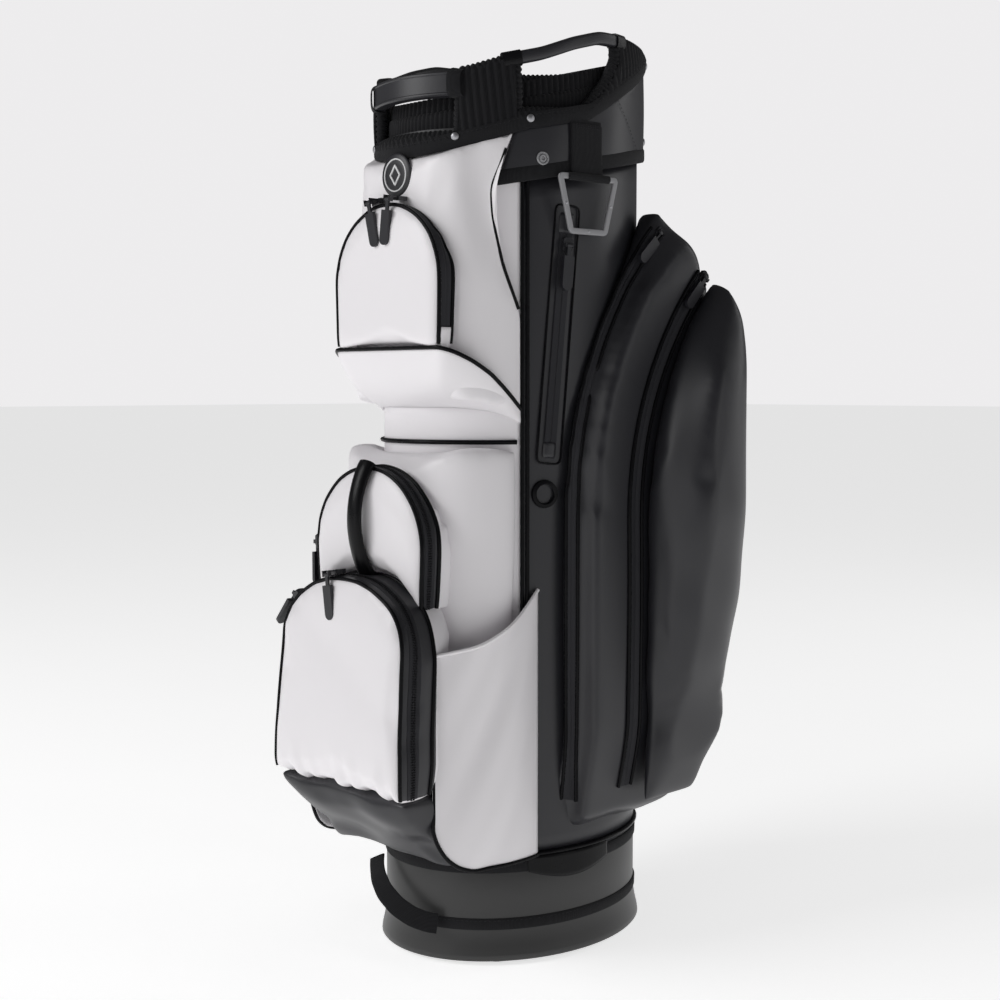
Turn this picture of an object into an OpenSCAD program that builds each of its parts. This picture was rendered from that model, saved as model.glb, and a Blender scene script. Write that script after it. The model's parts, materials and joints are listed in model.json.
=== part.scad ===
// Golf staff bag: an oval cart bag with a moulded base, a stiff liner tube, full-length
// dividers, a padded top cuff with three grips, white front pockets and black side pockets.
// Frame: origin at the centre of the base on the floor, +Z up, the front pockets face -Y,
// the towel ring is on the +X side.

/* [Trunk] */
// Height of the rim above the floor
bag_h = 882; // [870:1:1100]
// Width of the trunk across the bag, skins included
trunk_w = 224; // [212:1:290]
// Depth of the trunk from front to back, skins included
trunk_d = 278; // [262:1:350]
// Thickness of the outer skins
skin_t = 3.4; // [2:0.1:5]
// Wall of the stiff liner tube
liner_t = 3; // [2:0.1:4]

/* [Base] */
// Height of the moulded base
base_h = 100; // [80:1:140]
// Wall of the moulded base
base_t = 3.6; // [2.5:0.1:5]
// Thickness of the base floor
floor_t = 6; // [4:0.5:10]
// Height of the rubber feet
foot_h = 4; // [3:0.5:8]
// Diameter of each rubber foot
foot_d = 34; // [20:1:44]
// Width of the two tape bands round the base
tape_w = 12; // [8:1:18]

/* [Cuff] */
// Height of the rim at the front, below the highest point
rim_drop = 47; // [35:1:60]
// Height of the cuff where it starts at the front
cuff_h = 73; // [60:1:85]
// How far the cuff stands out of the trunk
cuff_out = 7; // [4:0.5:12]
// Height of the front grip bar
bar_h = 22; // [16:1:26]
// Half width of the front hand opening
front_window = 58; // [45:1:66]
// Depth of the side grip bars
side_bar_h = 11; // [8:0.5:14]

/* [Dividers] */
// Thickness of the padded divider bars
divider_bar = 9; // [6:0.5:12]
// Thickness of the padded rim round the dividers
divider_rim = 4; // [3:0.5:5]
// Height of the padded divider bars
divider_h = 26; // [18:1:40]
// Thickness of the fabric sleeves under the bars
sleeve_t = 1.2; // [0.8:0.1:2]

/* [Front pockets] */
// How far the upper pocket's face stands out of the trunk
upper_out = 27; // [22:1:40]
// Radius of the upper pocket's arch
upper_r = 74; // [60:1:78]
// Half width of the padded body behind the upper pocket
upper_body_w = 94; // [90:1:100]
// How far the middle pocket's face stands out of the trunk
middle_out = 51; // [46:1:60]
// Radius of the middle pocket's arch
middle_r = 77; // [66:1:80]
// How far the lower pocket's face stands out of the trunk
lower_out = 81; // [76:1:95]
// Half width of the lower pocket
lower_w = 86; // [80:1:90]
// Height of the lower pocket's crown
lower_top = 375; // [360:1:385]
// Height of the seam between the lower pocket and its leather skirt
skirt_top = 181; // [170:1:200]

/* [Side pockets] */
// How far the inner side pocket's zip stands out of the trunk
inner_out = 5; // [4:0.5:10]
// How far the outer side pocket's zip stands out of the trunk
outer_out = 28; // [26:1:36]
// How far the outer side pocket reaches out of the trunk
side_reach = 91; // [75:1:110]
// How far the side pockets reach behind the trunk
rear_reach = 12; // [4:1:20]

/* [Zips and rings] */
// Width of the zip tapes
zip_w = 14; // [12:0.5:16]
// Length of a rubber pull
pull_l = 42; // [30:1:48]
// Width of a rubber pull
pull_w = 11; // [8:0.5:12]
// Radius of the pin that a pull swings on
pull_pin_r = 0.9; // [0.7:0.05:1.1]
// Radius of the towel ring's wire
ring_wire_r = 2.2; // [1.6:0.1:3]
// Height of the towel ring
ring_h = 50; // [40:1:60]
// Width of the towel ring at its hinge bar
ring_top_w = 68; // [60:1:75]

/* [Hidden] */

// Clearances: between sewn or seated pieces, and of a pin in its eye
gap = 0.3;
pin_gap = 0.06;
step = 5;          // degrees between the corners of an oval
far = 600;         // longer than any cut has to reach
a = trunk_w / 2;   // half width and half depth of the trunk
b = trunk_d / 2;
seam = 35;         // the side seams lie this many degrees in front of the sides
spine = 60;        // the spine panel starts this many degrees behind the sides
liner_in = skin_t + gap;
liner_z = foot_h + floor_t + gap;
skin_z = base_h + 4;

// Cuff: heights of its lower edge over the front edge, its rim under the top, and the sill of
// the side openings under the top, each against Y
cuff_edge = [[-b - 8, 0], [-77, 25], [-16, 38], [20, 59], [105, 104]];
side_sill = [[-88, -78], [-40, -76], [-16, -70], [15, -40], [28, -20]];
function cuff_low(y) = bag_h - rim_drop - cuff_h + lookup(y, cuff_edge);
function cuff_edge_at(shift) = concat([[-far, cuff_low(-far) + shift]],
    [for (p = cuff_edge) [p[0], cuff_low(p[0]) + shift]], [[far, cuff_low(far) + shift]]);
rim_points = [[-b - 40, -rim_drop], [-b - 9, -rim_drop], [-b + 18, -rim_drop + 6],
    [-98, -32], [-64, -23], [-31, -10], [0, -1], [20, 0], [b + 40, 0]];
skirt_low_front = bag_h - 168;
skirt_slope = 0.2;
function skirt_low(y) = skirt_low_front + skirt_slope * (y + b);
front_sill = 20;   // height of the sill under the front opening
bar_low = bag_h - rim_drop - bar_h;
// Fronts of the pockets and heights of their arches
upper_y = -(b + upper_out);
upper_top = bag_h - 163;
upper_c = upper_top - upper_r;
belly_z = bag_h - 298;
waist_z = bag_h - 355;
middle_y = -(b + middle_out);
middle_top = 476;
middle_c = middle_top - middle_r;
lower_y = -(b + lower_out);
upper_body_d = b + 11;
lower_body_w = 95; // half width and depth of the body behind the lower pockets
lower_body_d = b + 21;
lower_body_top = 494;
corner_power = 5;  // how square the front bodies are in plan; 2 is an oval
lower_rt = 120;    // crown radius and corner radius of the lower pocket
lower_rc = 52;
crown_dz = sqrt(pow(lower_rt - lower_rc, 2) - pow(lower_w - lower_rc, 2));
crown_z = lower_top - lower_rt;
corner_z = crown_z + crown_dz;
crown_turn = atan2(lower_w - lower_rc, crown_dz);
slip_front = 308;  // top edge of the slip pockets, at the front and at the seam
slip_back = 358;
slip_t = 2.5;
slip_start = [lower_w + gap + slip_t, lower_y + 30];
slip_belly = [lower_w + 38, lower_y + 85];
slip_end = [(a + gap) * cos(seam) + slip_t, -(b + gap) * sin(seam) - 0.5];

// Side pocket zips: round at the top, straight below
inner_r = 359;
inner_c = [321, 430];
inner_top = 131.7;
outer_r = 331;
outer_c = [356, 420];
outer_top = 134.5;
land = 8;          // half width of the flat landing that a side zip lies on
pocket_low = 112;
pocket_high = 745;
tall_mid = [a * cos(19), -b * sin(19), 594];
tall_l = 196;
tall_turn = atan2(-tall_mid[1] / (b * b), tall_mid[0] / (a * a));
tall_tilt = 5;

// Zips
tape_t = 1.2;
seat = 0.2;        // between a tape and the pocket under it
ride = tape_t + seat + gap;
pin_z = ride + 6.2;
hang_out = 4.5;    // a hanging pull's pin stands this far in front of the pocket
hang_z = ride + 0.4;

function oval(ao, bo, from, to) =
    [for (t = [from : step : to]) [ao * cos(t), bo * sin(t)]];
function reversed(points) = [for (i = [len(points) - 1 : -1 : 0]) points[i]];
function unit(v) = v / norm(v);

// ---------- shapes that repeat ----------

module oval_prism(grow, z_low, z_high) {
    translate([0, 0, z_low]) linear_extrude(z_high - z_low)
        polygon(oval(a + grow, b + grow, 0, 360 - step));
}

module oval_ring(grow, wall, z_low, z_high) {
    difference() {
        oval_prism(grow, z_low, z_high);
        oval_prism(grow - wall, z_low - 1, z_high + 1);
    }
}

// Part of an oval wall, between two angles
module oval_wall(grow, wall, from, to, z_low, z_high) {
    translate([0, 0, z_low]) linear_extrude(z_high - z_low)
        polygon(concat(oval(a + grow, b + grow, from, to),
            reversed(oval(a + grow - wall, b + grow - wall, from, to))));
}

// Extrude an outline drawn in Y and Z along X, or one drawn in X and Z along -Y
module along_x(x_low, x_high) {
    translate([x_low, 0, 0]) rotate([90, 0, 90]) linear_extrude(x_high - x_low) children();
}

module along_y(y_front, depth) {
    translate([0, y_front + depth, 0]) rotate([90, 0, 0]) linear_extrude(depth) children();
}

module both_sides() {
    children();
    mirror([1, 0, 0]) children();
}

// The cuff's side view: everything between its lower edge and the rim, moved up or down
module cuff_side(low_shift, high_shift) {
    high = [for (p = reversed(rim_points)) [p[0], bag_h + p[1] + high_shift]];
    along_x(-far, far) polygon(concat(cuff_edge_at(low_shift),
        [[far, bag_h + high_shift]], high, [[-far, bag_h - rim_drop + high_shift]]));
}

// Everything under the cuff's lower edge
module under_cuff(shift) {
    along_x(-far, far) polygon(concat(cuff_edge_at(shift), [[far, -far], [-far, -far]]));
}

module under_skirt(shift) {
    along_x(-far, far) polygon([[-far, -far], [far, -far], [far, skirt_low(far) + shift],
        [-far, skirt_low(-far) + shift]]);
}

// Outline of an arched pocket: a half round on straight legs
module arch(r, centre_z, low_z) {
    intersection() {
        translate([0, centre_z]) circle(r, $fn = 96);
        translate([-far, centre_z]) square([2 * far, far]);
    }
    translate([-r, low_z]) square([2 * r, centre_z - low_z]);
}

// Outline of the lower pocket: a flat crown, tight corners and straight legs
module crown(grow, low_z) {
    intersection() {
        translate([0, crown_z]) circle(lower_rt + grow, $fn = 96);
        polygon([[0, crown_z], [far * sin(crown_turn), crown_z + far * cos(crown_turn)],
            [-far * sin(crown_turn), crown_z + far * cos(crown_turn)]]);
    }
    for (side = [-1, 1]) translate([side * (lower_w - lower_rc), corner_z])
        circle(lower_rc + grow, $fn = 96);
    translate([-lower_w - grow, low_z]) square([2 * (lower_w + grow), corner_z - low_z]);
}

// A closed tube of oval section along a list of points; across and through are its half sizes
module sweep(path, across, through, ref) {
    sides = 12;
    n = len(path);
    rings = [for (i = [0 : n - 1])
        let (t = unit(path[min(i + 1, n - 1)] - path[max(i - 1, 0)]),
             u = unit(cross(ref, t)), v = cross(t, u))
        for (k = [0 : sides - 1])
            path[i] + across * cos(360 * k / sides) * u + through * sin(360 * k / sides) * v];
    ends = [[for (k = [sides - 1 : -1 : 0]) k], [for (k = [0 : sides - 1]) (n - 1) * sides + k]];
    walls = [for (i = [0 : n - 2], k = [0 : sides - 1])
        [i * sides + k, i * sides + (k + 1) % sides,
         (i + 1) * sides + (k + 1) % sides, (i + 1) * sides + k]];
    polyhedron(rings, concat(ends, walls), convexity = 6);
}

// Half an oval with squared corners, for the bodies behind the front pockets
function squared(w, d, from, to) = [for (t = [from : step : to])
    [w * sign(cos(t)) * pow(abs(cos(t)), 2 / corner_power), -d * pow(abs(sin(t)), 2 / corner_power)]];

module front_body(w, d, grow) {
    translate([0, 0, -1]) linear_extrude(far * 3)
        polygon(concat(squared(w + grow, d + grow, 0, 180), [[-w - grow, 0]]));
}

// Slider body with its bridge. The track runs along X, +Z points out of the tape.
// A hanging slider carries its pin in front of the pocket's face, at y = 0.
module slider_plate(hanging) {
    y_mid = hanging ? 1.5 + zip_w / 2 : 0;
    translate([0, y_mid, ride]) linear_extrude(4.1)
        polygon([[-6.5, -3.4], [-2, -5], [6, -5], [7.5, -2.6], [7.5, 2.6], [6, 5], [-2, 5],
            [-6.5, 3.4]]);
}

module hanging_slider() {
    slider_plate(true);
    translate([-4.4, -2.6, ride + 2.5]) cube([8.8, 8, 1.6]);
    for (side = [-1, 1]) translate([side * 3.8 - 0.6, -hang_out - 1.9, ride - 1.5])
        cube([1.2, 4.4, 5.6]);
    translate([-4.2, -hang_out, hang_z]) rotate([0, 90, 0]) cylinder(8.4, pull_pin_r, pull_pin_r, $fn = 32);
}

module lying_slider() {
    slider_plate(false);
    for (side = [-1, 1]) translate([-1.9, side * 3.8 - 0.6, ride + 4.1]) cube([3.8, 1.2, 3.6]);
    translate([0, 4.2, pin_z]) rotate([90, 0, 0]) cylinder(8.4, pull_pin_r, pull_pin_r, $fn = 32);
}

// Rubber pull in its own frame: the eye's axis is Y at the origin, the grip runs along -X
module pull() {
    difference() {
        union() {
            translate([0, 2.8, 0]) rotate([90, 0, 0]) cylinder(5.6, r = 1.9, $fn = 32);
            translate([-11, -2, -0.9]) cube([11, 4, 1.8]);
        }
        translate([0, 5, 0]) rotate([90, 0, 0])
            cylinder(10, pull_pin_r + pin_gap, pull_pin_r + pin_gap, $fn = 32);
    }
    translate([0, 0, -1.4]) linear_extrude(3.6) {
        translate([pull_w / 2 - pull_l, 0]) circle(pull_w / 2, $fn = 48);
        translate([pull_w / 2 - pull_l, -pull_w / 2]) square([pull_l - 10 - pull_w / 2, pull_w]);
    }
}

module hanging_pull() {
    translate([0, -hang_out, hang_z]) rotate([0, -90, 0]) rotate([90, 0, 0]) pull();
}

module lying_pull() { translate([0, 0, pin_z]) pull(); }

// Where each slider sits. On the front the track runs round an arch, turned from its top.
module on_arch(r, centre_x, centre_z, turn, face_y) {
    translate([centre_x, face_y, centre_z]) rotate([0, turn, 0]) translate([0, 0, r]) children();
}

// On a side the tape faces outwards; turn is the place on the arc, from straight behind
module on_side_arc(out, centre, r, turn) {
    translate([a + out, centre[0] + r * cos(turn), centre[1] + r * sin(turn)])
        rotate([turn - 180, 0, 0]) rotate([0, 90, 0]) rotate([0, 0, 180]) children();
}

module on_tall_track(along) {
    translate(tall_mid) rotate([0, 0, -tall_turn]) rotate([-tall_tilt, 0, 0])
        translate([gap, 0, along]) rotate([0, 90, 0]) rotate([0, 0, 180]) children();
}

// ---------- base ----------

module base_shell() {
    color("#17171a") difference() {
        union() {
            oval_prism(0, foot_h + 8, base_h);
            oval_prism(1.6, foot_h, foot_h + 8);
        }
        oval_prism(-base_t, foot_h + floor_t, base_h + 1);
    }
}

module base_feet() {
    color("#222222") for (p = [[0, 0], [0.55, 0.6], [-0.55, 0.6], [0.55, -0.6], [-0.55, -0.6]])
        translate([p[0] * a, p[1] * b, 0]) cylinder(foot_h, d = foot_d, $fn = 64);
}

module base_tapes() {
    color("#0f0f11") for (z = [33, base_h - tape_w])
        oval_ring(1.6, 1.6 - seat, z, z + tape_w - 0.5);
}

module base_grab_strap() {
    color("#101012") sweep([[-48, -b - 1, 86], [-44, -b - 5, 80], [-34, -b - 12, 72],
        [-18, -b - 18, 62], [2, -b - 19, 52], [20, -b - 15, 45], [34, -b - 7, 41],
        [40, -b - 1, 40]], 1.3, 9, [0.25, 0.6, 1]);
}

// ---------- liner, stays and dividers ----------

module liner_tube() {
    color("#2a2a2c") intersection() {
        oval_ring(-liner_in, liner_t, liner_z, bag_h);
        under_cuff(-gap);
    }
}

stay_r = 4;
module stay_rods() {
    color("silver") intersection() {
        for (x = [-58, 58]) translate([x, b - 39, liner_z]) cylinder(bag_h, stay_r, stay_r, $fn = 48);
        under_divider(-divider_h - 1);
    }
}

divider_in = liner_in + liner_t + gap;
div_front = bag_h - 84;
div_slope = 0.235;
module under_divider(shift) {
    along_x(-far, far) polygon([[-far, -far], [far, -far],
        [far, div_front + div_slope * (far + b) + shift],
        [-far, div_front + div_slope * (b - far) + shift]]);
}

// Rows of the grid: two, three, four, three and two wells, from front to back
row_edge = [-3, -1, 1, 3];
function row_y(i) = row_edge[i] * (b - divider_in) / 5;
row_split = [[0], [-0.3, 0.3], [-0.5, 0, 0.5], [-0.3, 0.3], [0]];
function row_low(i) = i == 0 ? -b - far : row_y(i - 1);
function row_high(i) = i == 4 ? b + far : row_y(i);

module divider_lines(t, apart) {
    for (i = [0 : 3]) translate([-far, row_y(i) - t / 2]) square([2 * far, t]);
    for (i = [0 : 4]) for (x = row_split[i])
        translate([x * (a - divider_in) - t / 2, row_low(i) + t / 2 + apart])
            square([t, row_high(i) - row_low(i) - t - 2 * apart]);
}

// The rim and the bars are sewn together, so each is a solid of its own
module divider_top() {
    color("#1b1b1e") difference() {
        intersection() {
            union() {
                oval_ring(-divider_in, divider_rim, bag_h - 200, bag_h);
                intersection() {
                    oval_prism(-divider_in - divider_rim - gap, bag_h - 200, bag_h);
                    translate([0, 0, bag_h - 200]) linear_extrude(200)
                        divider_lines(divider_bar, gap);
                }
            }
            under_divider(0);
        }
        under_divider(-divider_h);
    }
}

module divider_sleeves() {
    color("#242428") intersection() {
        linear_extrude(bag_h) divider_lines(sleeve_t, gap);
        oval_prism(-divider_in, liner_z, bag_h);
        under_divider(-divider_h - gap);
    }
}

// ---------- cuff ----------

module front_notch(low) {
    translate([-front_window - 3, -b - 60, low]) cube([2 * front_window + 6, 100, 200]);
}

// The side opening seen from the side: a nearly level sill, then a climb to the bar's rear end
side_window = [side_sill[0][0], side_sill[len(side_sill) - 1][0]];
module side_notch() {
    along_x(0, far) polygon(concat([for (p = side_sill) [p[0], bag_h + p[1]]],
        [[side_window[1], far * 2], [side_window[0], far * 2]]));
}

module cuff_frame() {
    color("#151517") difference() {
        intersection() {
            oval_ring(-skin_t - 1, divider_in - gap - skin_t - 1, bag_h - 200, bag_h);
            cuff_side(gap, -8);
        }
        front_notch(bag_h - rim_drop - cuff_h + front_sill + 4);
        both_sides() side_notch();
    }
}

module cuff_padding() {
    color("#121214") difference() {
        intersection() {
            oval_ring(cuff_out, cuff_out + skin_t + 0.6, bag_h - 200, bag_h);
            cuff_side(gap, 0);
        }
        front_notch(bag_h - rim_drop - cuff_h + front_sill);
        both_sides() side_notch();
    }
}

module front_grip_bar() {
    color("#101012") intersection() {
        oval_ring(cuff_out + 3, cuff_out + 7, bar_low, bag_h - rim_drop);
        translate([-front_window - 3 + gap, -b - 60, 0])
            cube([2 * front_window + 6 - 2 * gap, 100, bag_h]);
    }
}

module side_grip_bars() {
    band = [for (p = rim_points) if (p[0] > -b && p[0] < b) p];
    color("#101012") both_sides() intersection() {
        oval_ring(cuff_out + 1, cuff_out + 5, bag_h - 200, bag_h + 1);
        difference() {
            along_x(0, far) polygon(concat(
                [for (p = band) [p[0], bag_h + p[1] - side_bar_h]], [[60, bag_h - side_bar_h], [60, bag_h]],
                reversed([for (p = band) [p[0], bag_h + p[1]]])));
            along_x(-1, far + 1) polygon([[-far, 0], [side_window[0] + gap, 0],
                [side_window[0] + gap, far * 2], [-far, far * 2]]);
            along_x(-1, far + 1) polygon([[side_window[1] - gap, 0], [far, 0], [far, far * 2],
                [side_window[1] - gap, far * 2]]);
        }
    }
}

module cuff_skirt() {
    color("#0c0c0e") intersection() {
        difference() {
            oval_wall(cuff_out - 1, cuff_out - 1 + skin_t, step / 2 - seam, 180 + seam - step / 2, 0, bag_h);
            under_skirt(0);
        }
        under_cuff(-gap);
    }
}

// A stud on the cuff or its skirt: angle round the oval, height, radius and length
module stud(turn, z, grow, r, l) {
    translate([(a + grow + gap) * cos(turn), (b + grow + gap) * sin(turn), z])
        rotate([0, 0, atan2(sin(turn) / b, cos(turn) / a)]) rotate([0, 90, 0]) cylinder(l, r, r, $fn = 32);
}

module cuff_studs() {
    color("#8b8b90") both_sides() {
        for (turn = [-62, -32, 52])
            stud(turn, cuff_low(b * sin(turn)) + 6, cuff_out, 3.6, 3);
        stud(52, bag_h - 86, cuff_out - 1, 3.6, 3);
        stud(-30, bag_h - 122, cuff_out - 1, 6, 2.4);
    }
}

// ---------- skins ----------

module front_panel() {
    color("#f1eef1") intersection() {
        oval_wall(0, skin_t, 180 + seam, 360 - seam, skin_z, bag_h);
        under_cuff(-gap);
    }
}

module side_panel() {
    difference() {
        intersection() {
            oval_wall(0, skin_t, -seam, spine, skin_z, bag_h);
            under_skirt(-gap);
        }
        on_grommet() cylinder(40, grommet_r, grommet_r, center = true, $fn = 64);
    }
}

module right_side_panel() { color("#0b0b0d") side_panel(); }
module left_side_panel() { color("#0b0b0d") mirror([1, 0, 0]) side_panel(); }

module spine_panel() {
    color("#0e0e10") intersection() {
        oval_wall(0, skin_t, spine, 180 - spine, skin_z, bag_h);
        under_skirt(-gap);
    }
}

grommet_r = 9;
grommet_turn = -25;
module on_grommet() {
    translate([a * cos(grommet_turn), b * sin(grommet_turn), 448])
        rotate([0, 0, atan2(sin(grommet_turn) / b, cos(grommet_turn) / a)]) rotate([0, 90, 0]) children();
}

module grommets() {
    color("#1a1a1c") both_sides() on_grommet() translate([0, 0, 0.6]) rotate_extrude($fn = 64)
        polygon([[grommet_r, 0], [grommet_r + 4.5, 0], [grommet_r + 4, 2], [grommet_r + 1, 2.6],
            [grommet_r, 1.8]]);
}

// ---------- upper front ----------

module upper_front_body() {
    color("#f1eef1") intersection() {
        difference() {
            front_body(upper_body_w, upper_body_d, 0);
            oval_prism(gap, -2, far * 4);
        }
        along_x(-far, far) polygon([[-far, belly_z - 6], [-upper_body_d, belly_z - 6],
            [-b, waist_z + 8], [-b * sin(seam), waist_z], [-b * sin(seam), far * 2], [-far, far * 2]]);
        under_cuff(-2);
    }
}

module valuables_pocket() {
    color("#f3f0f3") difference() {
        along_y(upper_y, 60) arch(upper_r, upper_c, belly_z);
        front_body(upper_body_w, upper_body_d, gap);
        oval_prism(gap, 0, bag_h);
    }
}

badge_r = 20;
module badge_disc() {
    color("#0c0c0e") translate([0, -upper_body_d - gap, upper_top + 5.5 + badge_r]) rotate([90, 0, 0])
        cylinder(3, badge_r, badge_r, $fn = 64);
}

// ---------- lower front ----------

module lower_front_body() {
    color("#f1eef1") intersection() {
        difference() {
            front_body(lower_body_w, lower_body_d, 0);
            oval_prism(gap, -2, far * 4);
        }
        along_x(-far, far) polygon([[-lower_body_d - 1, 112], [-b, skin_z], [-b * sin(seam), skin_z],
            [-b * sin(seam), lower_body_top], [-b, lower_body_top],
            [-lower_body_d - 1, lower_body_top - 12]]);
    }
}

module lower_outline(grow) {
    along_y(lower_y - 1, far) crown(grow, skirt_top);
}

module middle_pocket() {
    color("#f3f0f3") difference() {
        along_y(middle_y, 60) arch(middle_r, middle_c, middle_c - 60);
        front_body(lower_body_w, lower_body_d, gap);
        lower_outline(gap);
    }
}

handle_l = 92;
handle_bow = 13;
handle_wire = 5.5;
module middle_grab_handle() {
    r = (handle_l * handle_l / 4 + handle_bow * handle_bow) / (2 * handle_bow);
    turn = asin(handle_l / 2 / r);
    color("#0e0e10") difference() {
        translate([0, middle_y - handle_bow + r, middle_top - 4 - handle_l / 2]) rotate([0, 90, 0])
            rotate([0, 0, 270 - turn]) rotate_extrude(angle = 2 * turn, $fn = 96)
            translate([r, 0]) circle(handle_wire, $fn = 32);
        translate([-20, middle_y - gap, 0]) cube([40, 40, bag_h]);
    }
}

module lower_pocket() {
    color("#f3f0f3") difference() {
        along_y(lower_y, 60) crown(0, skirt_top);
        front_body(lower_body_w, lower_body_d, gap);
    }
}

module lower_pocket_skirt() {
    color("#0d0d0f") difference() {
        intersection() {
            along_x(-lower_w, lower_w) polygon([[lower_y, skirt_top - gap], [lower_y, 166],
                [lower_y + 8, 143], [lower_y + 26, 122], [lower_y + 56, 106], [-b, skin_z],
                [-b + 40, skin_z], [-b + 40, skirt_top - gap]]);
        }
        front_body(lower_body_w, lower_body_d, gap);
        oval_prism(gap, 0, bag_h);
    }
}

function bend(p, q, r, t) = (1 - t) * (1 - t) * p + 2 * t * (1 - t) * q + t * t * r;

module slip_plan(inset) {
    edge = [for (i = [0 : 16]) bend(slip_start, slip_belly, slip_end, i / 16) - [inset, 0]];
    polygon(concat(edge, [[0, slip_end[1]], [0, slip_start[1]]]));
}

module slip_pockets() {
    color("#f3f0f3") both_sides() difference() {
        intersection() {
            translate([0, 0, skin_z]) linear_extrude(slip_back) slip_plan(0);
            along_x(0, far) polygon([[slip_start[1], 0], [slip_end[1], 0], [slip_end[1], slip_back],
                [slip_start[1], slip_front]]);
        }
        translate([0, 0, skin_z + slip_t]) linear_extrude(far) slip_plan(slip_t);
        front_body(lower_body_w, lower_body_d, gap);
        oval_prism(gap, 0, bag_h);
        translate([-1, lower_y - 1, 0]) cube([lower_w + gap + 1, far, far]);
    }
}

// ---------- side pockets ----------

// Side view of a zip's outline, moved out by grow, drawn in Y and Z
module zip_side(centre, r, grow) {
    intersection() {
        union() {
            translate(centre) circle(r + grow, $fn = 180);
            translate([centre[0] - r - grow, 0]) square([far, centre[1]]);
        }
        polygon([[-60, pocket_low + 30], [-20, pocket_low + 6], [60, pocket_low], [110, 128],
            [b - 9, 175], [b + rear_reach, 260], [b + rear_reach, 590], [b - 4, 665],
            [114, 708], [70, 722], [-60, 722]]);
    }
}

module side_pocket_space() {
    corner = 50;
    side_x = a + side_reach;
    rear_y = b + rear_reach;
    difference() {
        intersection() {
            linear_extrude(pocket_high) union() {
                translate([side_x - corner, rear_y - corner]) circle(corner, $fn = 96);
                translate([0, -b]) square([side_x, rear_y - corner + b]);
                translate([70, -b]) square([side_x - corner - 70, rear_y + b]);
            }
            along_y(-far, 2 * far) polygon([[60, 112], [118, 118], [150, 142], [a + 68, 182],
                [a + side_reach - 6, 240], [a + side_reach, 300], [a + side_reach, 575],
                [a + 72, 640], [152, 690], [118, 722], [60, 730]]);
        }
        oval_prism(gap, 0, bag_h);
    }
}

module inner_pocket() {
    intersection() {
        side_pocket_space();
        union() {
            along_x(0, a + inner_out) zip_side(inner_c, inner_r, land);
            along_x(a + inner_out + seat, a + outer_out) zip_side(inner_c, inner_r, -land);
        }
    }
}

module outer_pocket() {
    intersection() {
        side_pocket_space();
        along_x(a + outer_out + seat, a + side_reach) zip_side(outer_c, outer_r, -land);
    }
}

module right_inner_pocket() { color("#0b0b0d") inner_pocket(); }
module left_inner_pocket() { color("#0b0b0d") mirror([1, 0, 0]) inner_pocket(); }
module right_outer_pocket() { color("#09090b") outer_pocket(); }
module left_outer_pocket() { color("#09090b") mirror([1, 0, 0]) outer_pocket(); }

// ---------- zips ----------

module gusset_tape(face_y) {
    along_y(face_y + 1.5, zip_w) children();
}

module arch_tape(r, centre_z, low) {
    difference() {
        arch(r + seat + tape_t, centre_z, low);
        arch(r + seat, centre_z, low - 1);
    }
}

module front_zip_tapes() {
    color("#08080a") {
        gusset_tape(upper_y) arch_tape(upper_r, upper_c, belly_z + 4);
        difference() {
            gusset_tape(middle_y) arch_tape(middle_r, middle_c, middle_c - 58);
            lower_outline(tape_t + 2 * seat);
        }
        gusset_tape(lower_y) difference() {
            crown(seat + tape_t, skirt_top + 2);
            crown(seat, skirt_top);
        }
    }
}

module side_tape(out, centre, r, top, low) {
    along_x(a + out + seat, a + out + seat + tape_t) {
        intersection() {
            translate(centre) difference() {
                circle(r + zip_w / 2, $fn = 180);
                circle(r - zip_w / 2, $fn = 180);
            }
            polygon([centre, centre + far * [cos(top - 1.5), sin(top - 1.5)],
                centre + [-far, far], centre - [far, 0]]);
        }
        translate([centre[0] - r - zip_w / 2, low]) square([zip_w, centre[1] - low]);
    }
}

module side_tapes() {
    on_tall_track(0) translate([-tall_l / 2, -zip_w / 2, 0]) cube([tall_l, zip_w, tape_t + seat]);
    side_tape(inner_out, inner_c, inner_r, inner_top, pocket_low + 40);
    side_tape(outer_out, outer_c, outer_r, outer_top, pocket_low + 46);
}

module right_zip_tapes() { color("#070709") side_tapes(); }
module left_zip_tapes() { color("#070709") mirror([1, 0, 0]) side_tapes(); }

// ---------- piping, towel loop and ring ----------

piping_r = 1.8;
module piping() {
    cord = [(a + piping_r + gap) * cos(seam - 2), -(b + piping_r + gap) * sin(seam - 2), skin_z];
    color("#08080a") {
        both_sides() translate(cord)
            cylinder(skirt_low(cord[1]) - skin_z - 1, piping_r, piping_r, $fn = 32);
        oval_wall(2.5, 2.3, 180 + seam, 360 - seam, lower_body_top + 1, lower_body_top + 5);
    }
}

ring_turn = -8;
loop_w = 48;
loop_wall = 1.6;
ring_x = ring_wire_r + loop_wall + 0.8;
ring_z = bag_h - 139;
ring_bottom_w = 42;
module on_towel_ring() {
    translate([(a + cuff_out - 1) * cos(ring_turn), (b + cuff_out - 1) * sin(ring_turn), ring_z])
        rotate([0, 0, atan2(sin(ring_turn) / b, cos(ring_turn) / a)]) children();
}

module towel_loop() {
    color("#131315") on_towel_ring() difference() {
        union() {
            translate([gap, -loop_w / 2, 0]) cube([2, loop_w, 50]);
            translate([ring_x, loop_w / 2, 0]) rotate([90, 0, 0])
                cylinder(loop_w, r = ring_wire_r + loop_wall, $fn = 48);
        }
        translate([ring_x, loop_w, 0]) rotate([90, 0, 0])
            cylinder(2 * loop_w, ring_wire_r + pin_gap, ring_wire_r + pin_gap, $fn = 48);
    }
}

module wire(p, q) {
    d = q - p;
    translate(p) rotate([0, acos(d[2] / norm(d)), atan2(d[1], d[0])])
        cylinder(norm(d), r = ring_wire_r, $fn = 48);
    translate(p) sphere(ring_wire_r + 0.15, $fn = 48);
}

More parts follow.
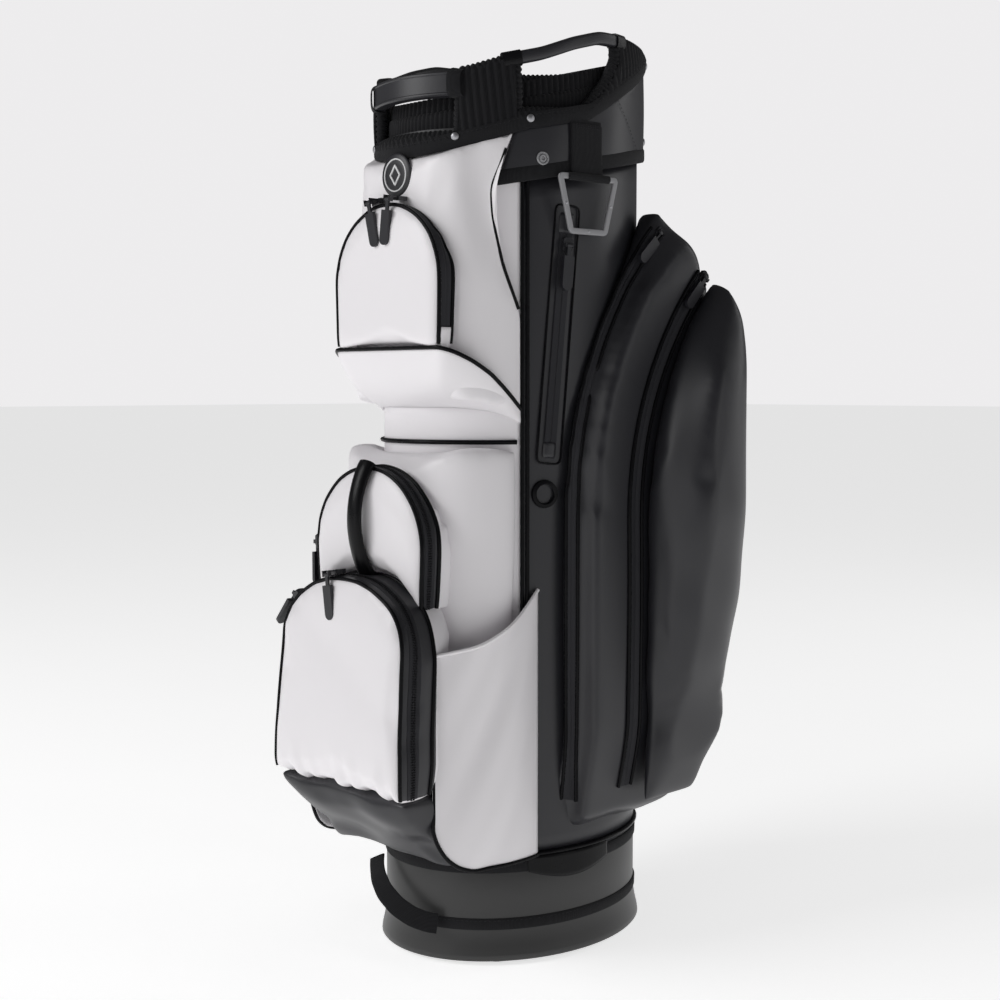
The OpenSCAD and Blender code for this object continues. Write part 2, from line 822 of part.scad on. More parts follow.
module towel_ring() {
    corners = [[0, -ring_top_w / 2, 0], [0, ring_top_w / 2, 0],
        [0, ring_bottom_w / 2, -ring_h], [0, -ring_bottom_w / 2, -ring_h]];
    color("#6f6f73") on_towel_ring() translate([ring_x, 0, 0])
        for (i = [0 : 3]) wire(corners[i], corners[(i + 1) % 4]);
}

// ---------- sliders and pulls, where they rest ----------

module at_valuables_left() { on_arch(upper_r, 0, upper_c, -14, upper_y) children(); }
module at_valuables_right() { on_arch(upper_r, 0, upper_c, 7, upper_y) children(); }
module at_middle() {
    on_arch(middle_r, 0, middle_c, -90, middle_y + 1.5 + zip_w / 2) children();
}
module at_lower_front() { on_arch(lower_rt, 0, crown_z, -8, lower_y) children(); }
module at_lower_left() {
    on_arch(lower_rc, lower_rc - lower_w, corner_z, -50, lower_y + 1.5 + zip_w / 2) children();
}
module at_inner() { on_side_arc(inner_out, inner_c, inner_r, inner_top) children(); }
module at_outer() { on_side_arc(outer_out, outer_c, outer_r, outer_top) children(); }
module at_tall() { on_tall_track(tall_l / 2 - 12) children(); }

module valuables_slider_left() { color("#2c2c30") at_valuables_left() hanging_slider(); }
module valuables_pull_left() { color("#0a0a0c") at_valuables_left() hanging_pull(); }
module valuables_slider_right() { color("#2c2c30") at_valuables_right() hanging_slider(); }
module valuables_pull_right() { color("#0a0a0c") at_valuables_right() hanging_pull(); }
module middle_slider() { color("#2c2c30") at_middle() lying_slider(); }
module middle_pull() { color("#0a0a0c") at_middle() lying_pull(); }
module lower_slider_front() { color("#2c2c30") at_lower_front() hanging_slider(); }
module lower_pull_front() { color("#0a0a0c") at_lower_front() hanging_pull(); }
module lower_slider_left() { color("#2c2c30") at_lower_left() lying_slider(); }
module lower_pull_left() { color("#0a0a0c") at_lower_left() lying_pull(); }
module right_tall_slider() { color("#2c2c30") at_tall() lying_slider(); }
module right_tall_pull() { color("#0a0a0c") at_tall() lying_pull(); }
module right_inner_slider() { color("#2c2c30") at_inner() lying_slider(); }
module right_inner_pull() { color("#0a0a0c") at_inner() lying_pull(); }
module right_outer_slider() { color("#2c2c30") at_outer() lying_slider(); }
module right_outer_pull() { color("#0a0a0c") at_outer() lying_pull(); }
module left_tall_slider() { mirror([1, 0, 0]) right_tall_slider(); }
module left_tall_pull() { mirror([1, 0, 0]) right_tall_pull(); }
module left_inner_slider() { mirror([1, 0, 0]) right_inner_slider(); }
module left_inner_pull() { mirror([1, 0, 0]) right_inner_pull(); }
module left_outer_slider() { mirror([1, 0, 0]) right_outer_slider(); }
module left_outer_pull() { mirror([1, 0, 0]) right_outer_pull(); }

base_shell();
base_feet();
base_tapes();
base_grab_strap();
liner_tube();
stay_rods();
cuff_frame();
cuff_padding();
cuff_skirt();
front_grip_bar();
side_grip_bars();
cuff_studs();
divider_top();
divider_sleeves();
front_panel();
right_side_panel();
left_side_panel();
spine_panel();
upper_front_body();
valuables_pocket();
badge_disc();
lower_front_body();
middle_pocket();
middle_grab_handle();
lower_pocket();
lower_pocket_skirt();
slip_pockets();
right_inner_pocket();
left_inner_pocket();
right_outer_pocket();
left_outer_pocket();
front_zip_tapes();
right_zip_tapes();
left_zip_tapes();
piping();
grommets();
towel_loop();
towel_ring();
valuables_slider_left();
valuables_pull_left();
valuables_slider_right();
valuables_pull_right();
middle_slider();
middle_pull();
lower_slider_front();
lower_pull_front();
lower_slider_left();
lower_pull_left();
right_tall_slider();
right_tall_pull();
right_inner_slider();
right_inner_pull();
right_outer_slider();
right_outer_pull();
left_tall_slider();
left_tall_pull();
left_inner_slider();
left_inner_pull();
left_outer_slider();
left_outer_pull();
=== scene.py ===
"""Looks of an oval golf cart bag: leather, ribbed mesh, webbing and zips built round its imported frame.

Sizes are in millimetres while a piece is being made, and in metres once its mesh is finished. The bag stands on
the floor with its front pockets towards -Y and the towel ring on +X.
"""

import json
import logging
import math
from collections.abc import Callable, Iterable, Sequence
from dataclasses import dataclass, field
from enum import Enum

import bmesh
import bpy
from mathutils import Matrix, Vector
from mathutils.bvhtree import BVHTree


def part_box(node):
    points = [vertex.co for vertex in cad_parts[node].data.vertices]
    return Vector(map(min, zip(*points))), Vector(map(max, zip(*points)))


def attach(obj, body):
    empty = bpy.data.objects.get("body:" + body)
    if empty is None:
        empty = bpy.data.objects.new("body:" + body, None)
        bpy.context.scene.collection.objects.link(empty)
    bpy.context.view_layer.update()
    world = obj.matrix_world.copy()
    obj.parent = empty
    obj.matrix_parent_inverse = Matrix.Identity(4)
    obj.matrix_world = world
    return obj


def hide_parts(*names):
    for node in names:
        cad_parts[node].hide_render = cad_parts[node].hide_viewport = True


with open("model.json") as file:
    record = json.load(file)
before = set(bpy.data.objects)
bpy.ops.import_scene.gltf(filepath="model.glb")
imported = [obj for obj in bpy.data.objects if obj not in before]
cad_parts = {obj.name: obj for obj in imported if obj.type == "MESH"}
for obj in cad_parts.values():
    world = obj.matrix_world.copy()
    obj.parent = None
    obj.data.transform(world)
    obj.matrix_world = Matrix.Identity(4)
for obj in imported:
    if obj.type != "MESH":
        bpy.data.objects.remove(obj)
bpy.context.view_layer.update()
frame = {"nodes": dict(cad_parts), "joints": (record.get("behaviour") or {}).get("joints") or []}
LOG = logging.getLogger("bag")
MM = 0.001


# ---------- shader expressions ----------

class Value:
    """A number that varies over a surface, kept as a node socket that Python's operators work on."""

    def __init__(self, tree: bpy.types.NodeTree, socket: bpy.types.NodeSocket) -> None:
        """Wraps a socket of a tree."""
        self.tree = tree
        self.socket = socket

    def maths(self, operation: str, *terms: "Value | float") -> "Value":
        """Adds one Math node.

        Args:
            operation: the node's operation.
            terms: its inputs in order.
        Returns:
            The node's output.
        """
        node = self.tree.nodes.new("ShaderNodeMath")
        node.operation = operation
        for place, term in zip(node.inputs, terms):
            if isinstance(term, Value):
                self.tree.links.new(term.socket, place)
            else:
                place.default_value = term
        return Value(self.tree, node.outputs[0])

    def __add__(self, other: "Value | float") -> "Value":
        """Sum."""
        return self.maths("ADD", self, other)

    def __sub__(self, other: "Value | float") -> "Value":
        """Difference."""
        return self.maths("SUBTRACT", self, other)

    def __mul__(self, other: "Value | float") -> "Value":
        """Product."""
        return self.maths("MULTIPLY", self, other)

    __radd__ = __add__
    __rmul__ = __mul__

    def above(self, level: float, width: float) -> "Value":
        """0 under level, 1 over level + width, and smooth between."""
        node = self.tree.nodes.new("ShaderNodeMapRange")
        node.interpolation_type = "SMOOTHSTEP"
        self.tree.links.new(self.socket, node.inputs["Value"])
        node.inputs["From Min"].default_value = level
        node.inputs["From Max"].default_value = level + width
        return Value(self.tree, node.outputs["Result"])


class Surface:
    """One material: its node tree, its principled shader and short ways to add nodes."""

    def __init__(self, name: str) -> None:
        """Makes an empty material with a Principled shader."""
        self.material = bpy.data.materials.new(name)
        self.material.use_nodes = True
        self.tree = self.material.node_tree
        self.shader = self.tree.nodes["Principled BSDF"]
        self.place = self.tree.nodes.new("ShaderNodeTexCoord").outputs["Object"]

    def node(self, kind: str, settings: dict | None = None, **inputs: object) -> bpy.types.Node:
        """Adds a node.

        Args:
            kind: the node's type, without its ShaderNode prefix.
            settings: properties that are set first.
            inputs: values or links of its sockets, with _ for a space.
        Returns:
            The node.
        """
        made = self.tree.nodes.new("ShaderNode" + kind)
        for key, value in (settings or {}).items():
            setattr(made, key, value)
        for key, value in inputs.items():
            socket = made.inputs[key.replace("_", " ")]
            if isinstance(value, Value):
                self.tree.links.new(value.socket, socket)
            elif isinstance(value, bpy.types.NodeSocket):
                self.tree.links.new(value, socket)
            else:
                socket.default_value = value
        return made

    def stretched(self, scale: Sequence[float], turn: Sequence[float] = (0, 0, 0)) -> bpy.types.NodeSocket:
        """Object coordinates after a scale and a turn in radians."""
        return self.node("Mapping", Vector=self.place, Scale=scale, Rotation=turn).outputs[0]

    def noise(self, scale: float, detail: float = 3, place: bpy.types.NodeSocket | None = None) -> Value:
        """Soft noise from 0 to 1, its scale in cycles per metre."""
        made = self.node("TexNoise", Vector=place or self.place, Scale=scale, Detail=detail)
        return Value(self.tree, made.outputs[0])

    def cells(self, scale: float, feature: str = "F1", place: bpy.types.NodeSocket | None = None) -> Value:
        """Distance in a cell pattern, its scale in cells per metre."""
        made = self.node("TexVoronoi", {"feature": feature}, Vector=place or self.place, Scale=scale)
        return Value(self.tree, made.outputs["Distance"])

    def wave(self, scale: float, axis: str, place: bpy.types.NodeSocket | None = None) -> Value:
        """Parallel bands across one axis."""
        settings = {"wave_type": "BANDS", "bands_direction": axis, "wave_profile": "SIN"}
        made = self.node("TexWave", settings, Vector=place or self.place, Scale=scale)
        return Value(self.tree, made.outputs["Fac"])

    def colour(self, low: Sequence[float], high: Sequence[float], share: Value) -> None:
        """Base colour between two colours."""
        made = self.node("Mix", {"data_type": "RGBA"})
        self.tree.links.new(share.socket, made.inputs["Factor"])
        for socket, value in zip([s for s in made.inputs if s.type == "RGBA"], (low, high)):
            socket.default_value = (*value, 1)
        out = next(s for s in made.outputs if s.type == "RGBA")
        self.tree.links.new(out, self.shader.inputs["Base Color"])

    def roughness(self, value: Value) -> None:
        """Links the roughness."""
        self.tree.links.new(value.socket, self.shader.inputs["Roughness"])

    def bump(self, height: Value, depth: float, strength: float = 1.0) -> None:
        """Adds a bump, its depth in metres."""
        made = self.node("Bump", Height=height, Distance=depth, Strength=strength)
        self.tree.links.new(made.outputs[0], self.shader.inputs["Normal"])

    def set(self, **values: float) -> None:
        """Uniform values straight on the shader's sockets."""
        for key, value in values.items():
            self.shader.inputs[key.replace("_", " ")].default_value = value


@dataclass(frozen=True)
class Leather:
    """Coated leather: a fine pebble grain, faint mottling and a satin coat."""

    name: str
    dark: tuple[float, float, float]
    light: tuple[float, float, float]
    rough: float = 0.42
    grain: float = 900.0
    depth: float = 0.00012
    sheen: float = 0.0
    shine: float = 0.05

    def make(self) -> bpy.types.Material:
        """Builds the material."""
        s = Surface(self.name)
        pebbles = s.cells(self.grain) * 0.7 + s.noise(self.grain * 0.9, 4) * 0.5
        mottling = s.noise(14, 4)
        s.colour(self.dark, self.light, mottling.above(0.3, 0.4) * 0.8 + pebbles * 0.15)
        s.roughness(self.rough - 0.06 + s.noise(40, 3) * 0.1 + pebbles * 0.05)
        s.bump(pebbles + s.noise(60, 2) * 0.6, self.depth, 0.55)
        s.set(Specular_IOR_Level=self.shine, Sheen_Weight=self.sheen)
        return s.material


@dataclass(frozen=True)
class Cloth:
    """Woven cloth or webbing: two crossing sets of threads with loose fibres."""

    name: str
    dark: tuple[float, float, float]
    light: tuple[float, float, float]
    threads: float = 330.0
    depth: float = 0.0003
    turn: tuple[float, float, float] = (0.0, 0.0, 0.0)
    rough: float = 0.82

    def make(self) -> bpy.types.Material:
        """Builds the material."""
        s = Surface(self.name)
        place = s.stretched((1, 1, 1), self.turn)
        across = s.wave(self.threads, "X", place) + s.wave(self.threads, "Y", place)
        weave = across * 0.4 + s.wave(self.threads, "Z", place) * 0.5
        fibres = s.noise(2600, 3)
        s.colour(self.dark, self.light, weave * 0.5 + fibres * 0.5)
        s.roughness(self.rough + fibres * 0.12 - 0.06)
        s.bump(weave + fibres * 0.5, self.depth, 0.7)
        s.set(Sheen_Weight=0.06, Sheen_Roughness=0.5, Specular_IOR_Level=0.15)
        return s.material


@dataclass(frozen=True)
class Moulded:
    """Moulded plastic or rubber with a fine spark texture."""

    name: str
    dark: tuple[float, float, float]
    light: tuple[float, float, float]
    rough: float = 0.4
    depth: float = 0.00006
    spark: float = 1500.0
    metallic: float = 0.0
    coat: float = 0.0
    shine: float = 0.09

    def make(self) -> bpy.types.Material:
        """Builds the material."""
        s = Surface(self.name)
        fine = s.noise(self.spark, 3)
        broad = s.noise(30, 3)
        s.colour(self.dark, self.light, broad.above(0.35, 0.3) * 0.7 + fine * 0.2)
        s.roughness(self.rough - 0.05 + fine * 0.06 + broad * 0.06)
        s.bump(fine, self.depth, 0.5)
        s.set(Metallic=self.metallic, Coat_Weight=self.coat, Coat_Roughness=0.2,
              Specular_IOR_Level=self.shine)
        return s.material


class Finish(Enum):
    """Every finish on the bag."""

    WHITE_LEATHER = Leather("white_leather", (0.80, 0.775, 0.79), (0.86, 0.84, 0.855),
                            0.46, 1100, 0.00007, 0.0, 0.4)
    BLACK_LEATHER = Leather("black_leather", (0.0016, 0.0015, 0.0021), (0.0032, 0.0030, 0.0042),
                            0.33, 900, 0.00011)
    ROLLED_LEATHER = Leather("rolled_leather", (0.003, 0.003, 0.0036), (0.006, 0.006, 0.007),
                             0.28, 700, 0.0002, 0.0, 0.16)
    PIPING = Moulded("piping_vinyl", (0.004, 0.004, 0.005), (0.007, 0.007, 0.008), 0.26, 0.00004, 900)
    MESH = Cloth("ribbed_mesh", (0.004, 0.004, 0.0048), (0.016, 0.016, 0.018), 420, 0.00025)
    WEBBING = Cloth("webbing", (0.0045, 0.0045, 0.0055), (0.018, 0.018, 0.020), 300, 0.00035, (0, 0, 0.78))
    BINDING = Cloth("binding", (0.005, 0.005, 0.006), (0.020, 0.020, 0.022), 520, 0.0003, (0, 0, 0.4))
    ZIP_TAPE = Cloth("zip_tape", (0.003, 0.003, 0.004), (0.010, 0.010, 0.012), 700, 0.00015,
                     (0.6, 0, 0), 0.6)
    TEETH = Moulded("zip_teeth", (0.008, 0.008, 0.009), (0.02, 0.02, 0.022), 0.3)
    BASE = Moulded("moulded_base", (0.0018, 0.0017, 0.0022), (0.0034, 0.0032, 0.004), 0.36, 0.00008, 1100)
    GRIP = Moulded("grip_plastic", (0.0045, 0.0045, 0.005), (0.008, 0.008, 0.009), 0.32, 0.00004, 1300)
    LINER = Moulded("liner_sheet", (0.010, 0.010, 0.011), (0.018, 0.018, 0.020), 0.55)
    SLIDER = Moulded("slider_metal", (0.006, 0.006, 0.007), (0.014, 0.014, 0.016),
                     0.24, 0.00003, 900, 0.3, 0.1)
    PULL = Moulded("pull_rubber", (0.005, 0.005, 0.006), (0.009, 0.009, 0.011), 0.34, 0.00006, 1600)
    RING = Moulded("ring_metal", (0.030, 0.030, 0.032), (0.050, 0.050, 0.053), 0.42, 0.00004, 1200, 0.2)
    STUD = Moulded("stud_metal", (0.17, 0.17, 0.20), (0.25, 0.25, 0.29), 0.34, 0.00002, 900, 0.5)
    STAY = Moulded("stay_metal", (0.42, 0.42, 0.43), (0.52, 0.52, 0.53), 0.35, 0.00003, 600, 1.0)
    RUBBER = Moulded("foot_rubber", (0.010, 0.010, 0.010), (0.018, 0.018, 0.018), 0.7, 0.0001, 800)
    MARK = Moulded("badge_mark", (0.72, 0.72, 0.73), (0.8, 0.8, 0.81), 0.4)
    THREAD = Cloth("thread", (0.006, 0.006, 0.007), (0.03, 0.03, 0.033), 1400, 0.0001)
    WHITE_THREAD = Cloth("white_thread", (0.62, 0.61, 0.63), (0.78, 0.77, 0.79), 1400, 0.0001)

    def material(self) -> bpy.types.Material:
        """The finish's material, made once."""
        return bpy.data.materials.get(self.value.name) or self.value.make()


# ---------- the trunk's own geometry ----------

def cad(node: str) -> tuple[Vector, Vector]:
    """Lowest and highest corner of a CAD node, in millimetres."""
    low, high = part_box(node)
    return low / MM, high / MM


def mix(low: float, high: float, share: float) -> float:
    """A value between two others."""
    return low + (high - low) * share


def eased(value: float) -> float:
    """A smooth step from 0 to 1."""
    value = min(1.0, max(0.0, value))
    return value * value * (3 - 2 * value)


def lookup(value: float, table: Sequence[tuple[float, float]]) -> float:
    """Straight-line lookup in a table of pairs."""
    if value <= table[0][0]:
        return table[0][1]
    for (x0, y0), (x1, y1) in zip(table, table[1:]):
        if value <= x1:
            return mix(y0, y1, (value - x0) / (x1 - x0))
    return table[-1][1]


@dataclass(frozen=True)
class Trunk:
    """The oval that every skin and band follows, with the slanted cuff on top."""

    half_w: float = cad("right_side_panel")[1].x
    half_d: float = -cad("front_panel")[0].y
    top: float = cad("cuff_padding")[1].z
    cuff_start: float = cad("cuff_padding")[0].z
    skin_low: float = cad("front_panel")[0].z
    skirt_start: float = cad("cuff_skirt")[0].z
    skirt_slope: float = 0.2
    seam: float = 35.0
    spine: float = 60.0

    def at(self, turn: float, grow: float, z: float) -> Vector:
        """A point on the oval, turned in degrees from +X and moved out by grow."""
        t = math.radians(turn)
        return Vector(((self.half_w + grow) * math.cos(t), (self.half_d + grow) * math.sin(t), z))

    def out(self, turn: float) -> Vector:
        """The outward direction at a turn."""
        t = math.radians(turn)
        return Vector((math.cos(t) / self.half_w, math.sin(t) / self.half_d, 0)).normalized()

    def turn_at(self, y: float, grow: float = 0) -> float:
        """The turn on the +X side where the oval has this Y."""
        return math.degrees(math.asin(max(-1, min(1, y / (self.half_d + grow)))))

    def cuff_low(self, y: float) -> float:
        """Height of the cuff's lower edge."""
        rise = [(-self.half_d - 8, 0), (-77, 25), (-16, 38), (20, 59), (105, 104)]
        return self.cuff_start + lookup(y, rise)

    def rim(self, y: float) -> float:
        """Height of the rim."""
        d = self.half_d
        drop = [(-d - 9, -47), (-d + 18, -41), (-98, -32), (-64, -23), (-31, -10), (0, -1), (20, 0)]
        return self.top + lookup(y, drop)

    def sill(self, y: float) -> float:
        """Height of a side opening's sill."""
        return self.top + lookup(y, [(-88, -78), (-40, -76), (-16, -70), (15, -40), (28, -20)])

    def skirt_low(self, y: float) -> float:
        """Height of the leather skirt's lower edge."""
        return self.skirt_start + self.skirt_slope * (y + self.half_d)


TRUNK = Trunk()


def trunk_out(p: Vector) -> Vector:
    """The outward direction at a point near the trunk."""
    return Vector((p.x / TRUNK.half_w ** 2, p.y / TRUNK.half_d ** 2, 0)).normalized()


# ---------- making pieces ----------

class Path:
    """A line through points, open or closed, that tubes and stitches follow."""

    def __init__(self, points: Iterable[Sequence[float]], closed: bool = False, pitch: float = 4.0) -> None:
        """Spaces the points evenly.

        Args:
            points: corners of the line, in millimetres.
            closed: whether the last point joins the first.
            pitch: the spacing aimed for.
        """
        corners = [Vector(p) for p in points]
        if closed:
            corners.append(corners[0].copy())
        self.closed = closed
        steps = [(q - p).length for p, q in zip(corners, corners[1:])]
        self.length = sum(steps)
        count = max(2, round(self.length / pitch))
        self.points: list[Vector] = []
        place, done = 0, 0.0
        for i in range(count if closed else count + 1):
            want = self.length * i / count
            while place < len(steps) - 1 and done + steps[place] < want - 1e-9:
                done += steps[place]
                place += 1
            share = (want - done) / max(steps[place], 1e-9)
            self.points.append(corners[place].lerp(corners[place + 1], min(1.0, share)))

    def smoothed(self, rounds: int = 2) -> "Path":
        """The same line with its corners relaxed."""
        n = len(self.points)
        for _ in range(rounds):
            old = [p.copy() for p in self.points]
            for i in range(n):
                if self.closed or 0 < i < n - 1:
                    self.points[i] = (old[i - 1] + old[i] * 2 + old[(i + 1) % n]) / 4
        return self

    def tangent(self, i: int) -> Vector:
        """Direction of the line at a point."""
        n = len(self.points)
        if self.closed:
            return (self.points[(i + 1) % n] - self.points[i - 1]).normalized()
        return (self.points[min(i + 1, n - 1)] - self.points[max(i - 1, 0)]).normalized()

    def frames(self, up: Vector | None = None) -> list[tuple[Vector, Vector]]:
        """Two directions across the line at each point, the first as near to up as it can be."""
        found, last = [], up or Vector((0, 0, 1))
        for i in range(len(self.points)):
            t = self.tangent(i)
            across = (up if up else last) - t * (up if up else last).dot(t)
            if across.length < 1e-3:
                across = t.orthogonal()
            across.normalize()
            last = across
            found.append((across, t.cross(across)))
        return found


class Maker:
    """Collects one piece's mesh in millimetres, then turns it into an object that rides on its body."""

    def __init__(self, name: str) -> None:
        """Starts an empty piece."""
        self.name = name
        self.bm = bmesh.new()

    def patch(self, shape: Callable[[float, float], Sequence[float]], columns: int, rows: int,
              cap: bool = False) -> list[bmesh.types.BMVert]:
        """Adds a grid and bends it to a shape.

        Args:
            shape: gives the point for two shares from 0 to 1.
            columns: faces along the first share.
            rows: faces along the second share.
            cap: whether its open ends are filled.
        Returns:
            Its vertices.
        """
        made = bmesh.ops.create_grid(self.bm, x_segments=columns, y_segments=rows, size=0.5)["verts"]
        for v in made:
            v.co = Vector(shape(min(1, max(0, v.co.x + 0.5)), min(1, max(0, v.co.y + 0.5))))
        bmesh.ops.remove_doubles(self.bm, verts=made, dist=0.002)
        made = [v for v in made if v.is_valid]
        if cap:
            edges = {e for v in made for e in v.link_edges if e.is_boundary}
            bmesh.ops.holes_fill(self.bm, edges=list(edges), sides=0)
        return made

    def tube(self, path: Path, radius: float | Callable[[float], float], sides: int = 10, flat: float = 1.0,
             up: Vector | None = None, square: float = 2.0) -> None:
        """Adds a tube along a path.

        Args:
            path: the line it follows.
            radius: its half width, or a rule for the half width against length along the line.
            sides: faces round it.
            flat: the share of its width that its thickness is.
            up: the direction its width keeps to.
            square: 2 for a round section, and more for a squarer one.
        """
        frames, points, n = path.frames(up), path.points, len(path.points)
        rows = n if path.closed else n - 1

        def shape(u: float, v: float) -> Vector:
            i = round(v * rows) % n if path.closed else round(v * rows)
            r = radius(path.length * v) if callable(radius) else radius
            c, s = math.cos(2 * math.pi * u), math.sin(2 * math.pi * u)
            c, s = (math.copysign(abs(k) ** (2 / square), k) for k in (c, s))
            across, side = frames[i]
            return points[i] + across * (r * c) + side * (r * flat * s)
        self.patch(shape, sides, rows, cap=not path.closed)

    def disc(self, centre: Vector, axis: Vector, radius: float, thick: float, dome: float = 0.0,
             sides: int = 32) -> None:
        """Adds a rounded disc with its back at centre."""
        turn = axis.to_track_quat("Z", "Y").to_matrix()
        rings = [(0, 0), (radius, 0), (radius, thick * 0.6), (radius * 0.92, thick),
                 (radius * 0.5, thick + dome * 0.8), (0, thick + dome)]

        def shape(u: float, v: float) -> Vector:
            r, z = rings[round(v * (len(rings) - 1))]
            t = 2 * math.pi * u
            return centre + turn @ Vector((r * math.cos(t), r * math.sin(t), z))
        self.patch(shape, sides, len(rings) - 1)

    def stitches(self, path: Path, out: Callable[[Vector], Vector], long: float = 3.0, pitch: float = 4.4,
                 wide: float = 0.8) -> None:
        """Adds a row of raised stitches along a path."""
        row = Path(path.points, path.closed, pitch)
        for i in range(len(row.points)):
            t, up = row.tangent(i), out(row.points[i])
            side = up.cross(t).normalized()
            turn = Matrix((t, side, up)).transposed()
            made = bmesh.ops.create_icosphere(self.bm, subdivisions=1, radius=0.5)["verts"]
            place = (Matrix.Translation(row.points[i]) @ turn.to_4x4()
                     @ Matrix.Diagonal((long, wide, wide * 0.8, 1)))
            bmesh.ops.transform(self.bm, matrix=place, verts=made)

    def piece(self, finish: Finish, slot: str, body: str = "bag",
              stands_for: Sequence[str] = (), wall: float = 0.0,
              smooth: float = 40.0, rounding: int = 0) -> bpy.types.Object:
        """Finishes the mesh and makes the piece.

        Args:
            finish: its finish.
            slot: the record's material slot.
            body: the CAD body it rides on.
            stands_for: CAD nodes it replaces.
            wall: thickness given to an open sheet, inwards, in millimetres.
            smooth: degrees over which an edge stays sharp.
            rounding: levels of subdivision.
        Returns:
            The object.
        """
        bmesh.ops.recalc_face_normals(self.bm, faces=self.bm.faces)
        bmesh.ops.scale(self.bm, vec=(MM, MM, MM), verts=self.bm.verts)
        mesh = bpy.data.meshes.new(self.name)
        self.bm.to_mesh(mesh)
        self.bm.free()
        made = bpy.data.objects.new(self.name, mesh)
        return settle(made, finish, slot, body, stands_for, wall, smooth, rounding)


def settle(made: bpy.types.Object, finish: Finish, slot: str, body: str = "bag",
           stands_for: Sequence[str] = (),
           wall: float = 0.0, smooth: float = 40.0, rounding: int = 0) -> bpy.types.Object:
    """Links a piece, dresses it and puts it on its body.

    Args:
        made: the object.
        finish: its finish.
        slot: the record's material slot; not used.
        body: the CAD body it rides on.
        stands_for: CAD nodes it replaces.
        wall: thickness given to an open sheet, in millimetres.
        smooth: degrees over which an edge stays sharp.
        rounding: levels of subdivision.
    Returns:
        The object.
    """
    if made.name not in bpy.context.scene.collection.objects:
        bpy.context.scene.collection.objects.link(made)
    mesh = made.data
    mesh.polygons.foreach_set("use_smooth", [True] * len(mesh.polygons))
    mesh.set_sharp_from_angle(angle=math.radians(smooth))
    mesh.materials.clear()
    mesh.materials.append(finish.material())
    if wall:
        thick = made.modifiers.new("wall", "SOLIDIFY")
        thick.thickness, thick.offset, thick.use_even_offset = wall * MM, -1.0, True
    if rounding:
        soft = made.modifiers.new("rounding", "SUBSURF")
        soft.levels = soft.render_levels = rounding
    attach(made, body)
    if stands_for:
        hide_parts(*stands_for)
    LOG.info("%s: %d faces on %s", made.name, len(mesh.polygons), body)
    return made


def tree_of(made: bpy.types.Object) -> BVHTree:
    """A search tree of a finished piece, in millimetres."""
    ready = made.evaluated_get(bpy.context.evaluated_depsgraph_get())
    mesh = ready.to_mesh()
    found = BVHTree.FromPolygons([v.co / MM for v in mesh.vertices],
                                 [tuple(p.vertices) for p in mesh.polygons])
    ready.to_mesh_clear()
    return found


